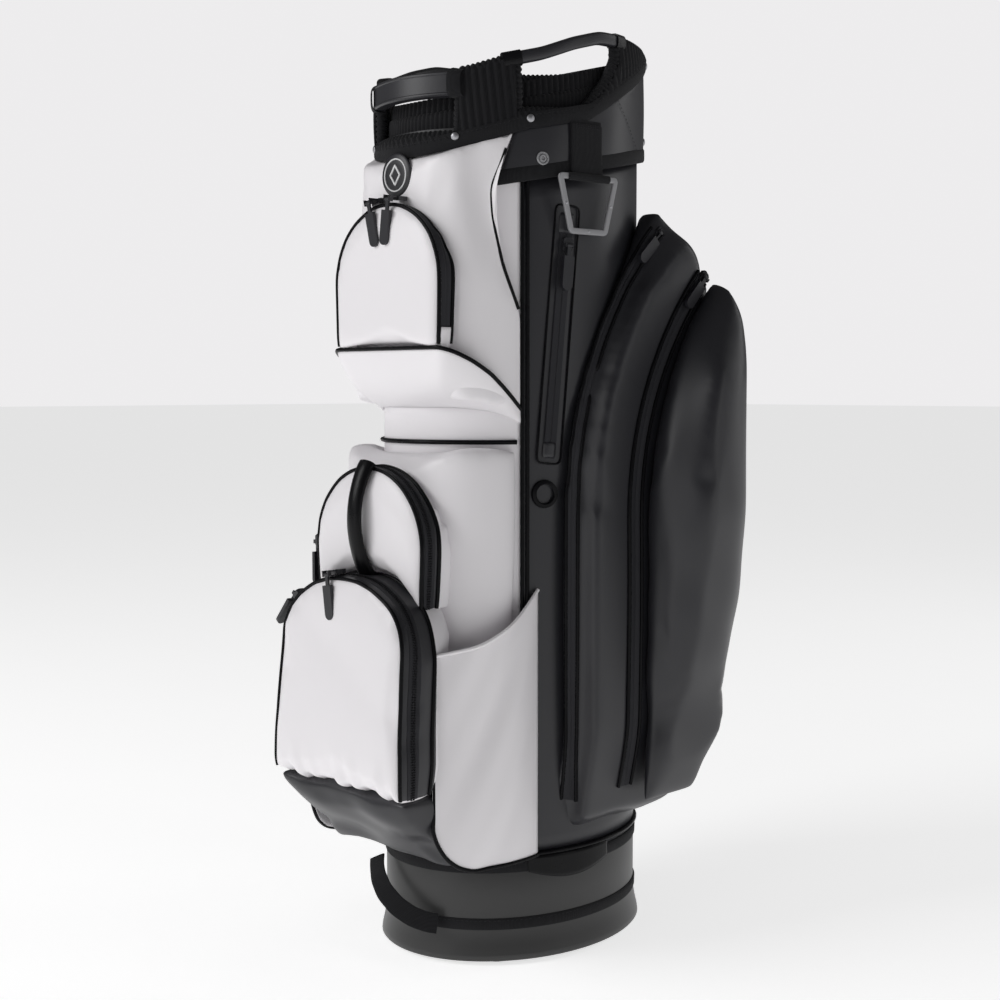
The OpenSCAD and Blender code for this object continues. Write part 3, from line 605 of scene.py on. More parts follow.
@dataclass
class Stuffed:
    """A padded pocket: its closed CAD form remeshed, inflated as cloth and eased at its seams."""

    node: str
    finish: Finish
    slot: str
    voxel: float = 5.0
    cap: float = 6.0
    pressure: float = 4.0
    fill: float = 0.6
    relax: int = 6
    folds: Callable[[Vector], float] | None = None
    hold: Callable[[Vector], float] | None = None
    form: Callable[[Vector], Vector] | None = None

    def make(self) -> bpy.types.Object:
        """Builds the piece.

        Returns:
            The finished, dressed object.
        """
        source = frame["nodes"][self.node]
        mesh = source.data.copy()
        mesh.name = self.node + "_padded"
        made = bpy.data.objects.new(self.node + "_padded", mesh)
        bpy.context.scene.collection.objects.link(made)
        self._weld(mesh)
        self._modify(made, "REMESH", mode="VOXEL", voxel_size=self.voxel * MM)
        if self.form:
            for v in made.data.vertices:
                v.co = self.form(v.co / MM) * MM
        self._ease(made.data, self.relax)
        self._inflate(made)
        self._ease(made.data, 2)
        self._fold(made.data)
        settle(made, self.finish, self.slot, "bag", [self.node], 0.0, 180.0, 1)
        return made

    def _weld(self, mesh: bpy.types.Mesh) -> None:
        """Joins the loose triangles of the CAD copy."""
        bm = bmesh.new()
        bm.from_mesh(mesh)
        bmesh.ops.remove_doubles(bm, verts=bm.verts, dist=1e-5)
        bm.to_mesh(mesh)
        bm.free()

    def _modify(self, made: bpy.types.Object, kind: str, **settings: object) -> None:
        """Adds a modifier and applies it."""
        added = made.modifiers.new(kind.lower(), kind)
        for key, value in settings.items():
            setattr(added, key, value)
        ready = made.evaluated_get(bpy.context.evaluated_depsgraph_get())
        new = bpy.data.meshes.new_from_object(ready)
        made.modifiers.clear()
        made.data = new

    def _ease(self, mesh: bpy.types.Mesh, rounds: int) -> None:
        """Relaxes the mesh a little, so that its corners turn round."""
        bm = bmesh.new()
        bm.from_mesh(mesh)
        for _ in range(rounds):
            bmesh.ops.smooth_vert(bm, verts=bm.verts, factor=0.5,
                                  use_axis_x=True, use_axis_y=True, use_axis_z=True)
        bm.to_mesh(mesh)
        bm.free()

    def _inflate(self, made: bpy.types.Object) -> None:
        """Runs the cloth simulation and keeps its result within the cap."""
        scene = bpy.context.scene
        start = [v.co.copy() for v in made.data.vertices]
        cloth = made.modifiers.new("cloth", "CLOTH")
        cloth.settings.use_pressure = True
        cloth.settings.uniform_pressure_force = self.pressure
        cloth.settings.effector_weights.gravity = 0.0
        cloth.settings.quality = 4
        cloth.settings.mass = 0.3
        cloth.settings.tension_stiffness = cloth.settings.compression_stiffness = 12
        cloth.settings.bending_stiffness = 3.0
        for step in range(1, 21):
            scene.frame_set(step)
        ready = made.evaluated_get(bpy.context.evaluated_depsgraph_get())
        new = bpy.data.meshes.new_from_object(ready)
        made.modifiers.clear()
        for v, old in zip(new.vertices, start):
            move = v.co - old
            most = self.cap * MM * (self.hold(old / MM) if self.hold else 1.0)
            if move.length > most:
                move = move.normalized() * most if most > 0 else Vector()
            v.co = old + move
        made.data = new
        scene.frame_set(1)

    def _fold(self, mesh: bpy.types.Mesh) -> None:
        """Moves the surface along its normals by the folds' rule."""
        if self.folds is None:
            return
        mesh.calc_loop_triangles()
        moves = [v.normal * (self.folds(v.co / MM) * MM) for v in mesh.vertices]
        for v, move in zip(mesh.vertices, moves):
            v.co += move


# ---------- base ----------

@dataclass
class Base:
    """The moulded base with its tape bands, grab strap and small pull tab."""

    columns: int = 160
    low: float = cad("base_shell")[0].z
    high: float = cad("base_shell")[1].z
    wall: float = 3.6
    flare: float = 5.0
    tape: float = 12.0
    strap_half: float = 9.5

    def ring(self, maker: Maker, rows: Sequence[tuple[float, float, float]], start: float = 0.0,
             end: float = 360.0) -> None:
        """Adds a band whose rows give its share of the oval, its growth and its height."""
        def shape(u: float, v: float) -> Vector:
            share, grow, z = rows[round(v * (len(rows) - 1))]
            p = TRUNK.at(mix(start, end, u), grow, z)
            return Vector((p.x * share, p.y * share, z))
        maker.patch(shape, round(self.columns * (end - start) / 360), len(rows) - 1)

    def shell(self) -> None:
        """The flared shell and its floor."""
        maker = Maker("base_body")
        z, top, f = self.low, self.high, self.flare
        self.ring(maker, [(0, 0, z), (0.95, 0, z), (1, f - 1.2, z), (1, f, z + 1.5), (1, f - 0.6, z + 6),
                          (1, f * 0.5, z + 14), (1, f * 0.2, z + 22), (1, 0, z + 30), (1, 0, 62),
                          (1, 0, top - 2), (1, -1, top), (1, -self.wall, top), (1, -self.wall, 11),
                          (0.95, -self.wall, 10), (0, 0, 10)])
        maker.piece(Finish.BASE, "moulded_base", stands_for=["base_shell"], smooth=50)

    def bands(self) -> None:
        """The two tape bands and their stitches."""
        maker, thread = Maker("base_bands"), Maker("base_band_stitches")
        for z in (33, self.high - self.tape):
            t = self.tape - 0.5
            self.ring(maker, [(1, -0.4, z), (1, 0.9, z + 0.4), (1, 1.5, z + 2), (1, 1.6, z + t / 2),
                              (1, 1.5, z + t - 2), (1, 0.9, z + t - 0.4), (1, -0.4, z + t)])
            line = Path([TRUNK.at(t2, 1.6, z + t - 2.2) for t2 in range(0, 360, 3)], True)
            thread.stitches(line, trunk_out)
        maker.piece(Finish.BINDING, "black_webbing", stands_for=["base_tapes"])
        thread.piece(Finish.THREAD, "black_webbing")

    def strap(self) -> None:
        """The webbing strap that hangs off the front, and the tab beside it."""
        b = TRUNK.half_d
        maker = Maker("base_strap")
        route = Path([(-48, -b - 1, 86), (-44, -b - 5, 80), (-34, -b - 12, 72), (-18, -b - 18, 62),
                      (2, -b - 19, 52),
                      (20, -b - 15, 45), (34, -b - 7, 41), (40, -b - 1, 40)], pitch=3).smoothed(3)
        maker.tube(route, self.strap_half, 16, 0.16, Vector((0.25, 0.6, 1)), square=3.5)
        maker.piece(Finish.WEBBING, "black_webbing", stands_for=["base_grab_strap"])
        tab = Maker("base_tab")

        def shape(u: float, v: float) -> Vector:
            turn = mix(-32, 8, u)
            bow = math.sin(math.pi * u)
            return TRUNK.at(turn, 2.2 + 1.6 * bow * (1 - v), mix(88 - 9 * bow, 103, v))
        tab.patch(shape, 40, 6)
        tab.piece(Finish.ROLLED_LEATHER, "black_leather", wall=1.6)

    def build(self) -> None:
        """Builds every piece of the base."""
        self.shell()
        self.bands()
        self.strap()


# ---------- trunk skins ----------

@dataclass
class Skins:
    """The leather skins round the trunk, and the seams between them."""

    wall: float = 3.0
    pipe: float = 1.9
    waist: float = 497.0

    def skin(self, name: str, node: str, start: float, end: float, finish: Finish, slot: str) -> None:
        """One skin between two turns."""
        maker = Maker(name)
        high = TRUNK.cuff_low if node == "front_panel" else TRUNK.skirt_low

        def shape(u: float, v: float) -> Vector:
            turn = mix(start, end, u)
            y = TRUNK.at(turn, 0, 0).y
            return TRUNK.at(turn, 0, mix(TRUNK.skin_low - 4, high(y) + 3, v))
        maker.patch(shape, round((end - start) / 2), 30)
        maker.piece(finish, slot, stands_for=[node], wall=self.wall)

    def seams(self) -> None:
        """Double piping down both front seams and the waist piping."""
        maker = Maker("trunk_piping")
        for side in (-1, 1):
            for turn, grow in ((-TRUNK.seam + 0.4, 1.2), (-TRUNK.seam + 2.6, 1.0)):
                p = TRUNK.at(turn, grow, 0)
                top = TRUNK.skirt_low(p.y) - 0.5
                line = Path([(side * p.x, p.y, TRUNK.skin_low), (side * p.x, p.y, top)], pitch=12)
                maker.tube(line, self.pipe, 10)
        waist = Path([TRUNK.at(t, 2.0, self.waist) for t in range(-145, -34, 3)])
        maker.tube(waist, 2.2, 10)
        low = Path([TRUNK.at(t, 1.6, TRUNK.skin_low + 1) for t in range(-35, 216, 3)])
        maker.tube(low, 2.0, 10)
        maker.piece(Finish.PIPING, "black_leather", stands_for=["piping"])

    def build(self) -> None:
        """Builds the skins and their seams."""
        s, p = TRUNK.seam, TRUNK.spine
        self.skin("front_skin", "front_panel", 180 + s, 360 - s, Finish.WHITE_LEATHER, "white_leather")
        self.skin("right_skin", "right_side_panel", -s, p, Finish.BLACK_LEATHER, "black_leather")
        self.skin("left_skin", "left_side_panel", 180 - p, 180 + s, Finish.BLACK_LEATHER, "black_leather")
        self.skin("spine_skin", "spine_panel", p, 180 - p, Finish.BLACK_LEATHER, "black_leather")
        self.seams()


# ---------- cuff ----------

@dataclass
class Cuff:
    """The ribbed padded cuff with its hand openings, grip bars, binding, skirt and studs."""

    out: float = cad("cuff_padding")[1].x - TRUNK.half_w
    skirt_turns: tuple[float, float] = (-33.2, 213.2)
    collar: float = -9.5
    inner: float = -4.2
    pitch: float = 6.8
    rib: float = 2.1
    roll: float = 5.4
    window: float = 58.0
    front_sill: float = TRUNK.cuff_start + 20
    bar_low: float = cad("front_grip_bar")[0].z
    bar_high: float = cad("front_grip_bar")[1].z
    side_from: float = -88.0
    side_to: float = 28.0
    turns: list[float] = field(default_factory=list)

    def __post_init__(self) -> None:
        """Spaces the columns evenly round the oval, six to a rib."""
        line = Path([TRUNK.at(t, self.out, 0) for t in range(0, 360)], True, self.pitch / 6)
        count = len(line.points) // 6 * 6
        line = Path([TRUNK.at(t, self.out, 0) for t in range(0, 360)], True, line.length / count)
        reach_x, reach_y = TRUNK.half_w + self.out, TRUNK.half_d + self.out
        self.turns = [math.degrees(math.atan2(p.y / reach_y, p.x / reach_x)) for p in line.points]

    def top(self, p: Vector) -> float:
        """Height of the padding's top edge over a point."""
        if p.y < 0 and abs(p.x) < self.window:
            return self.front_sill
        if self.side_from < p.y < self.side_to:
            return TRUNK.sill(p.y)
        return TRUNK.rim(p.y)

    def sleeve(self) -> None:
        """The ribbed band, inside and outside, and the ribbed roll along its top edge."""
        maker = Maker("cuff_sleeve")
        n = len(self.turns)

        def wall(outer: bool) -> Callable[[float, float], Vector]:
            def shape(u: float, v: float) -> Vector:
                i = round(u * n) % n
                base = TRUNK.at(self.turns[i], self.out, 0)
                low, high = TRUNK.cuff_low(base.y) + 4, self.top(base) - self.roll + 1.0
                ridge = self.rib * abs(math.sin(math.pi * (i / 6 + (0.9 * v if outer else 0))))
                if outer:
                    grow = self.out - 1.2 + ridge + 1.2 * math.sin(math.pi * v)
                else:
                    grow = self.inner - ridge
                return TRUNK.at(self.turns[i], grow, mix(low, max(high, low + 2), v))
            return shape
        maker.patch(wall(True), n, 10)
        maker.patch(wall(False), n, 6)
        centre = (self.out + self.inner) / 2
        edge = []
        for turn in self.turns:
            base = TRUNK.at(turn, self.out, 0)
            edge.append(TRUNK.at(turn, centre, self.top(base) - self.roll + 0.4))
        line = Path(edge, True, 0.8).smoothed(14)
        maker.tube(line, lambda s: self.roll - 0.9 + 1.5 * abs(math.sin(math.pi * s / (0.72 * self.pitch))), 12)
        reach = len(self.turns)

        def inner_ribs(u: float, v: float) -> Vector:
            i = round(u * reach) % reach
            base = TRUNK.at(self.turns[i], self.out, 0)
            ridge = self.rib * abs(math.sin(math.pi * i / 6))
            high = TRUNK.top - 66 + 0.235 * (base.y + TRUNK.half_d)
            z = mix(high - 40, min(high, TRUNK.rim(base.y) - 8), v)
            return TRUNK.at(self.turns[i], self.collar + ridge - 2 * v ** 4, z)
        maker.patch(inner_ribs, reach, 8)
        maker.piece(Finish.MESH, "black_mesh", stands_for=["cuff_padding"], smooth=180)

    def binding(self) -> None:
        """The binding tape along the cuff's lower edge, with its stitches."""
        maker, thread = Maker("cuff_binding"), Maker("cuff_binding_stitches")
        rows = [(-2, -3.0), (0.6, -3.4), (1.5, -1.0), (1.7, 4), (1.5, 9), (0.7, 11.4), (-1.5, 11.0)]

        def shape(u: float, v: float) -> Vector:
            grow, z = rows[round(v * (len(rows) - 1))]
            turn = 360 * u
            return TRUNK.at(turn, self.out + grow, TRUNK.cuff_low(TRUNK.at(turn, self.out, 0).y) + z)
        maker.patch(shape, 180, len(rows) - 1)
        maker.piece(Finish.BINDING, "black_webbing")
        turns = range(0, 360, 2)
        line = [TRUNK.at(t, self.out + 1.8, TRUNK.cuff_low(TRUNK.at(t, self.out, 0).y) + 8.6)
                for t in turns]
        thread.stitches(Path(line, True), trunk_out)
        thread.piece(Finish.THREAD, "black_webbing")

    def skirt(self) -> None:
        """The leather skirt under the cuff at the sides and back, its hem and its seams."""
        maker, hem, thread = (Maker("cuff_skirt_" + n) for n in ("leather", "hem", "stitches"))
        grow = self.out - 1
        start, end = self.skirt_turns

        def edge(u: float, v: float) -> float:
            lead = mix(12, 5, v)
            return mix(start - lead, end + lead, u)

        def shape(u: float, v: float) -> Vector:
            turn = edge(u, v)
            y = TRUNK.at(turn, grow, 0).y
            puff = 0.9 * math.sin(math.pi * v) + 0.4 * math.sin(turn * 0.21) * math.sin(math.pi * v)
            return TRUNK.at(turn, grow + puff, mix(TRUNK.skirt_low(y), TRUNK.cuff_low(y) - 1, v))
        maker.patch(shape, 130, 12)
        maker.piece(Finish.BLACK_LEATHER, "black_leather", stands_for=["cuff_skirt"], wall=2.6)
        rows = [(-1.6, -1.2), (0.5, -1.0), (1.5, 1), (1.6, 6), (1.4, 11), (0.2, 12.6), (-0.4, 12.4)]

        def band(u: float, v: float) -> Vector:
            out, z = rows[round(v * (len(rows) - 1))]
            turn = edge(u, 0)
            return TRUNK.at(turn, grow + out, TRUNK.skirt_low(TRUNK.at(turn, grow, 0).y) + z)
        hem.patch(band, 130, len(rows) - 1)
        hem.piece(Finish.BINDING, "black_leather")
        for side in (-1, 1):
            low, high = TRUNK.at(26, grow + 1.0, 0), TRUNK.at(10, grow + 1.2, 0)
            seam = []
            for i in range(9):
                turn = mix(10, 26, 1 - i / 8)
                p = TRUNK.at(turn, grow + 1.5, 0)
                z = mix(TRUNK.skirt_low(low.y) + 13, TRUNK.cuff_low(high.y) - 4, i / 8)
                seam.append((side * p.x, p.y, z))
            thread.stitches(Path(seam), trunk_out)
        thread.piece(Finish.THREAD, "black_leather")

    def front_bar(self) -> None:
        """The moulded front grip with a lipped face and a webbing wrap at each end."""
        maker, wraps = Maker("front_grip"), Maker("front_grip_wraps")
        half = (self.bar_high - self.bar_low) / 2
        mid_z = (self.bar_high + self.bar_low) / 2
        section = [(-3, -half + 2), (-1, -half), (8.6, -half), (10.2, -half + 1.2), (10.2, -half + 2.6),
                   (9.3, -half + 3.4), (9.3, half - 3.4), (10.2, half - 2.6), (10.2, half - 1.2),
                   (8.6, half), (-1, half), (-3, half - 2)]

        def along(x: float, grow: float, z: float) -> Vector:
            reach = TRUNK.half_d + grow
            return Vector((x, -reach * math.sqrt(1 - (x / (TRUNK.half_w + grow)) ** 2), z))

        def shape(u: float, v: float) -> Vector:
            grow, z = section[round(v * len(section)) % len(section)]
            x = mix(-self.window - 1, self.window + 1, u)
            return along(x, grow, mid_z + z)
        maker.patch(shape, 40, len(section), cap=True)
        maker.piece(Finish.GRIP, "grip_plastic", stands_for=["front_grip_bar"], smooth=35)
        for side in (-1, 1):
            def wrap(u: float, v: float) -> Vector:
                t = 2 * math.pi * v
                grow = 3.6 + 8.2 * math.copysign(abs(math.cos(t)) ** 0.6, math.cos(t))
                z = (half + 1.6) * math.copysign(abs(math.sin(t)) ** 0.6, math.sin(t))
                bow = 0.8 * math.sin(math.pi * u)
                return along(side * mix(self.window - 6, self.window + 5, u), grow + bow, mid_z + z)
            wraps.patch(wrap, 6, 28)
        wraps.piece(Finish.WEBBING, "black_webbing", smooth=60)

    def side_bars(self) -> None:
        """The arched side grips over the hand openings, their front wraps and rear clips."""
        maker, wraps = Maker("side_grips"), Maker("side_grip_wraps")
        for side in (-1, 1):
            def spot(y: float, drop: float) -> tuple[float, float, float]:
                p = TRUNK.at(TRUNK.turn_at(y, 2), 2, 0)
                return side * p.x, p.y, TRUNK.rim(p.y) - drop
            line = Path([spot(y, 5.4) for y in range(-92, 34, 3)], pitch=3).smoothed(4)
            maker.tube(line, 5.9, 20, 0.95, Vector((0, 0, 1)), square=3.4)
            for y, wide in ((-89, 7.0), (29, 6.4)):
                short = Path([spot(y - wide, 5.6), spot(y, 5.6), spot(y + wide, 5.6)], pitch=2)
                wraps.tube(short, 7.2, 20, 0.98, Vector((0, 0, 1)), square=3.2)
        maker.piece(Finish.GRIP, "grip_plastic", stands_for=["side_grip_bars"], smooth=50)
        wraps.piece(Finish.ROLLED_LEATHER, "black_webbing", smooth=50)

    def studs(self) -> None:
        """Domed studs on the binding and the snap on each side of the skirt."""
        maker = Maker("cuff_stud_caps")
        for side in (-1, 1):
            spots = [(t, TRUNK.cuff_low(TRUNK.at(t, 0, 0).y) + 5, self.out + 1.6, 3.7)
                     for t in (-62, -32, 52)]
            spots.append((52, TRUNK.top - 86, self.out - 0.2, 3.7))
            for turn, z, grow, radius in spots:
                p, out = TRUNK.at(turn, grow, z), TRUNK.out(turn)
                maker.disc(Vector((side * p.x, p.y, z)), Vector((side * out.x, out.y, 0)), radius, 1.1, 0.9)
        maker.piece(Finish.STUD, "stud_metal", stands_for=["cuff_studs"])
        snaps = Maker("cuff_snaps")
        for side in (-1, 1):
            p, out = TRUNK.at(-27, self.out - 0.4, TRUNK.top - 124), TRUNK.out(-27)
            centre, axis = Vector((side * p.x, p.y, p.z)), Vector((side * out.x, out.y, 0))
            turn = axis.to_track_quat("Z", "Y").to_matrix()
            for radius, lift, thick in ((5.2, 1.0, 1.1), (2.6, 1.4, 1.0)):
                ring = [centre + axis * lift
                        + turn @ Vector((radius * math.cos(a), radius * math.sin(a), 0))
                        for a in [2 * math.pi * i / 24 for i in range(24)]]
                snaps.tube(Path(ring, True, 1.2), thick, 8)
            snaps.disc(centre, axis, 4.6, 0.8, 0.1)
        snaps.piece(Finish.RING, "stud_metal")

    def build(self) -> None:
        """Builds every piece of the cuff."""
        self.sleeve()
        self.binding()
        self.skirt()
        self.front_bar()
        self.side_bars()
        self.studs()


# ---------- dividers ----------

@dataclass
class Dividers:
    """The ribbed padded bars that part the clubs, and the rim that they are sewn to."""

    inset: float = TRUNK.half_w - cad("divider_top")[1].x
    slope: float = 0.235
    start: float = TRUNK.top - 84
    height: float = 26.0
    half: float = 4.9
    pitch: float = 4.6
    rib: float = 0.9

    def top(self, y: float) -> float:
        """Height of the dividers' top plane."""
        return self.start + self.slope * (y + TRUNK.half_d)

    def bar(self, maker: Maker, line: Path) -> None:
        """Adds one padded bar along a line that lies in the top plane."""
        rows = len(line.points) if line.closed else len(line.points) - 1
        n = len(line.points)
        section = [(-1, -self.height), (-1.05, -16), (-1, -7), (-0.86, -2.4), (-0.5, -0.5), (0, 0.2),
                   (0.5, -0.5), (0.86, -2.4), (1, -7), (1.05, -16), (1, -self.height)]

        def shape(u: float, v: float) -> Vector:
            i = round(v * rows) % n
            side = line.tangent(i).cross(Vector((0, 0, 1))).normalized()
            share, z = section[round(u * (len(section) - 1))]
            ridge = self.rib * abs(math.sin(math.pi * line.length * v / self.pitch)) - self.rib
            return (line.points[i] + side * (share * (self.half + ridge))
                    + Vector((0, 0, z + ridge * (z > -4))))
        maker.patch(shape, len(section) - 1, rows)

    def build(self) -> None:
        """Builds the padding that stands in for the divider tops."""
        maker = Maker("divider_padding")
        a, b = TRUNK.half_w - self.inset, TRUNK.half_d - self.inset
        rows = [k * b / 5 for k in (-3, -1, 1, 3)]
        splits = [[0], [-0.3, 0.3], [-0.5, 0, 0.5], [-0.3, 0.3], [0]]

        def lay(p: tuple[float, float], q: tuple[float, float]) -> None:
            corners = [(x, y, self.top(y)) for x, y in (p, q)]
            self.bar(maker, Path(corners, pitch=0.8))
        for y in rows:
            x = (a - 5) * math.sqrt(1 - (y / b) ** 2)
            lay((-x, y), (x, y))
        for i, split in enumerate(splits):
            for share in split:
                x = share * a
                reach = (b - 5) * math.sqrt(1 - share ** 2)
                low = max(-reach, rows[i - 1] + 5) if i else -reach
                high = min(reach, rows[i] - 5) if i < 4 else reach
                lay((x, low), (x, high))
        rim = []
        for t in range(0, 360, 2):
            p = TRUNK.at(t, -self.inset - 3.2, 0)
            rim.append((p.x, p.y, self.top(p.y) + 1.5))
        self.bar(maker, Path(rim, True, 0.8))
        maker.piece(Finish.MESH, "divider_padding", stands_for=["divider_top"], smooth=180)


# ---------- zips ----------

def laid(surface: BVHTree, p: Vector, lift: float) -> Vector:
    """A point laid on a surface and lifted off it."""
    hit, normal, _, _ = surface.find_nearest(p)
    return p if hit is None else hit + normal * lift


@dataclass
class ZipRun:
    """One zip: a tape laid on its pocket along a line, its coil, and a piping on either side."""

    line: Path
    across: Callable[[Vector, Vector], Vector]
    surface: BVHTree
    half: float
    pipes: tuple[float, ...]
    pipe_r: float
    lift: float

    def offset(self, i: int, away: float, lift: float) -> Vector:
        """A point beside the line, laid on the pocket."""
        p = self.line.points[i]
        side = self.across(p, self.line.tangent(i))
        return laid(self.surface, p + side * away, lift)

    def add(self, tape: Maker, piping: Maker, teeth: Maker | None = None) -> None:
        """Adds the zip to the pieces that collect tapes, piping and, where they show, coils."""
        n = len(self.line.points) - 1
        profile = [(-1, 0), (-0.92, 1), (-0.2, 1.1), (-0.06, 0.5), (0.06, 0.5), (0.2, 1.1), (0.92, 1),
                   (1, 0)]

        def shape(u: float, v: float) -> Vector:
            share, rise = profile[round(v * (len(profile) - 1))]
            return self.offset(round(u * n), share * self.half, self.lift * rise)
        tape.patch(shape, n, len(profile) - 1)
        for away in self.pipes:
            run = Path([self.offset(i, away, self.pipe_r * 0.55) for i in range(n + 1)]).smoothed(2)
            piping.tube(run, self.pipe_r, 10)
        if teeth:
            for away in (-1.3, 1.3):
                row = Path([self.offset(i, away, self.lift + 0.2) for i in range(n + 1)])
                teeth.stitches(row, lambda p: (p - laid(self.surface, p, -2)).normalized(), 1.3, 2.3, 2.4)


# ---------- front pockets ----------

# Z and Y along the side edge of the upper body
BODY_EDGE = [(620, -84), (660, -101), (700, -110), (730, -110), (765, -98)]


@dataclass
class FrontPockets:
    """The padded bodies and arched pockets on the front, with their zips, piping, badge and handle."""

    upper: tuple[Vector, Vector] = cad("valuables_pocket")
    middle: tuple[Vector, Vector] = cad("middle_pocket")
    lower: tuple[Vector, Vector] = cad("lower_pocket")
    crown_r: float = 120.0
    corner_r: float = 52.0
    waist: float = 527.0

    def arch(self, box: tuple[Vector, Vector], y: float, low: float, grow: float = 0.0) -> Path:
        """The open outline of an arched pocket, from its left foot over to its right foot."""
        r = box[1].x
        centre = box[1].z - r
        points = [(-r - grow, y, low), (-r - grow, y, (low + centre) / 2)]
        for i in range(37):
            t = math.pi * (1 - i / 36)
            points.append(((r + grow) * math.cos(t), y, centre + (r + grow) * math.sin(t)))
        points += [(r + grow, y, (low + centre) / 2), (r + grow, y, low)]
        return Path(points, pitch=3)

    def crown(self, y: float, low: float, grow: float = 0.0) -> Path:
        """The open outline of the lower pocket: a flat crown between tight corners."""
        w = self.lower[1].x
        top = self.lower[1].z
        dx = w - self.corner_r
        dz = math.sqrt((self.crown_r - self.corner_r) ** 2 - dx ** 2)
        crown_z = top - self.crown_r
        corner_z = crown_z + dz
        lean = math.atan2(dx, dz)
        half = [(0.0, top + grow)]
        for i in range(1, 11):
            t = lean * i / 10
            half.append(((self.crown_r + grow) * math.sin(t),
                         crown_z + (self.crown_r + grow) * math.cos(t)))
        for i in range(1, 13):
            t = mix(lean, math.pi / 2, i / 12)
            half.append((dx + (self.corner_r + grow) * math.sin(t),
                         corner_z + (self.corner_r + grow) * math.cos(t)))
        half.append((w + grow, low))
        points = [(-x, y, z) for x, z in reversed(half)] + [(x, y, z) for x, z in half[1:]]
        return Path(points, pitch=3)

    def lower_folds(self, p: Vector) -> float:
        """Gathers above the lower pocket's bottom seam and a soft hollow across its face."""
        low = self.lower[0].z
        near = max(0.0, 1 - (p.z - low) / 46)
        front = eased((-185 - p.y) / 20)
        gathers = math.sin(p.x * 0.16 + 0.8) * math.sin(p.x * 0.055 + 2.0) + 0.5 * math.sin(p.x * 0.31)
        hollow = math.exp(-(((p.x - 30) * 0.7 + (p.z - 285)) / 20) ** 2) * 0.9
        return front * (near ** 1.6 * gathers * 3.0 - hollow * 0.8)

    def lower_hold(self, p: Vector) -> float:
        """Keeps the crown of the lower pocket tight, under its sliders."""
        return eased((390 - p.z) / 60)

    def lower_form(self, p: Vector) -> Vector:
        """Lets the lower pocket and its leather bottom swell downwards and forwards."""
        front = eased((-p.y - 150) / 60)
        share = front * eased((400 - p.z) / 190)
        lift = front * eased((190 - p.z) / 70)
        return Vector((p.x * (1 + 0.08 * share - 0.10 * lift), p.y - 12 * share + 34 * lift, p.z))

    def skirt_folds(self, p: Vector) -> float:
        """Soft diagonal folds in the leather bottom."""
        front = eased((-150 - p.y) / 30)
        one = math.sin((p.x * 0.9 - p.z * 0.8) * 0.075 + 1.0)
        two = math.sin((p.x * 0.5 + p.z * 1.1) * 0.12 + 2.2)
        return front * (one * 1.5 + two * 0.8)

    def upper_form(self, p: Vector) -> Vector:
        """Draws the upper body in under the cuff and curves its side edges forward."""
        high = eased((p.z - 640) / 110)
        front = eased((-p.y - 95) / 30)
        edge = lookup(p.z, [(596, -58), *BODY_EDGE, (800, -80), (830, -60)])
        return Vector((p.x * (1 - 0.17 * high * front), min(p.y, max(edge, -0.93 * TRUNK.half_d)), p.z))

    def belly(self, line: Path) -> None:
        """The leather under the upper pocket, from its bottom piping back to the waist."""
        maker = Maker("belly_leather")
        n = len(line.points) - 1

        def shape(u: float, v: float) -> Vector:
            p = line.points[round(u * n)]
            turn = mix(-146, -34, u)
            q = TRUNK.at(turn, 1.5, self.waist + 2 - 16 * abs(2 * u - 1) ** 5)
            c = Vector((mix(p.x, q.x, 0.25), mix(p.y, q.y, 0.18), mix(p.z, q.z, 0.72)))
            return p * (1 - v) ** 2 + c * (2 * v * (1 - v)) + q * v * v
        maker.patch(shape, n, 16)
        maker.piece(Finish.WHITE_LEATHER, "white_leather", wall=1.6)

    def body_folds(self, p: Vector) -> float:
        """A faint drape over the lower body's shoulder."""
        return 1.0 * math.sin((p.y * 0.8 + p.z * 0.5) * 0.05 + 1) * eased((abs(p.x) - 40) / 50)

    def bodies(self) -> dict[str, bpy.types.Object]:
        """The stuffed bodies and pockets."""
        white, black = Finish.WHITE_LEATHER, Finish.BLACK_LEATHER
        return {
            "upper_body": Stuffed("upper_front_body", white, "white_leather", 4, 2, relax=4,
                                  form=self.upper_form).make(),
            "lower_body": Stuffed("lower_front_body", white, "white_leather", 5, 4, relax=6,
                                  folds=self.body_folds).make(),
            "upper": Stuffed("valuables_pocket", white, "white_leather", 4, 4, relax=4).make(),
            "middle": Stuffed("middle_pocket", white, "white_leather", 4, 5, relax=5).make(),
            "lower": Stuffed("lower_pocket", white, "white_leather", 4, 3, relax=4, folds=self.lower_folds,
                             hold=self.lower_hold, form=self.lower_form).make(),
            "skirt": Stuffed("lower_pocket_skirt", black, "black_leather", 4.5, 3, relax=6,
                             folds=self.skirt_folds, form=self.lower_form).make(),
        }

    def zips(self, made: dict[str, bpy.types.Object]) -> None:
        """Gusset bands, tapes, coils and piping of the three pockets."""
        tape, teeth, piping, gusset = (Maker(n) for n in ("front_zip_bands", "front_zip_coils", "pocket_piping",
                                                          "pocket_gussets"))

        def back(p: Vector, t: Vector) -> Vector:
            return Vector((0, 1, 0))
        runs = [
            ("upper", self.arch(self.upper, 0, self.upper[0].z + 2), self.upper[0].y, 17, 9, False),
            ("middle", self.arch(self.middle, 0, self.middle[0].z + 2), self.middle[0].y, 20, 10, True),
            ("lower", self.crown(0, self.lower[0].z + 2), self.lower[0].y, 36, 15, True),
        ]
        for key, line, y, deep, zip_at, coil in runs:
            tree = tree_of(made[key])
            rows = max(4, round(deep / 3))
            n = len(line.points) - 1

            form = self.lower_form if key == "lower" else Vector

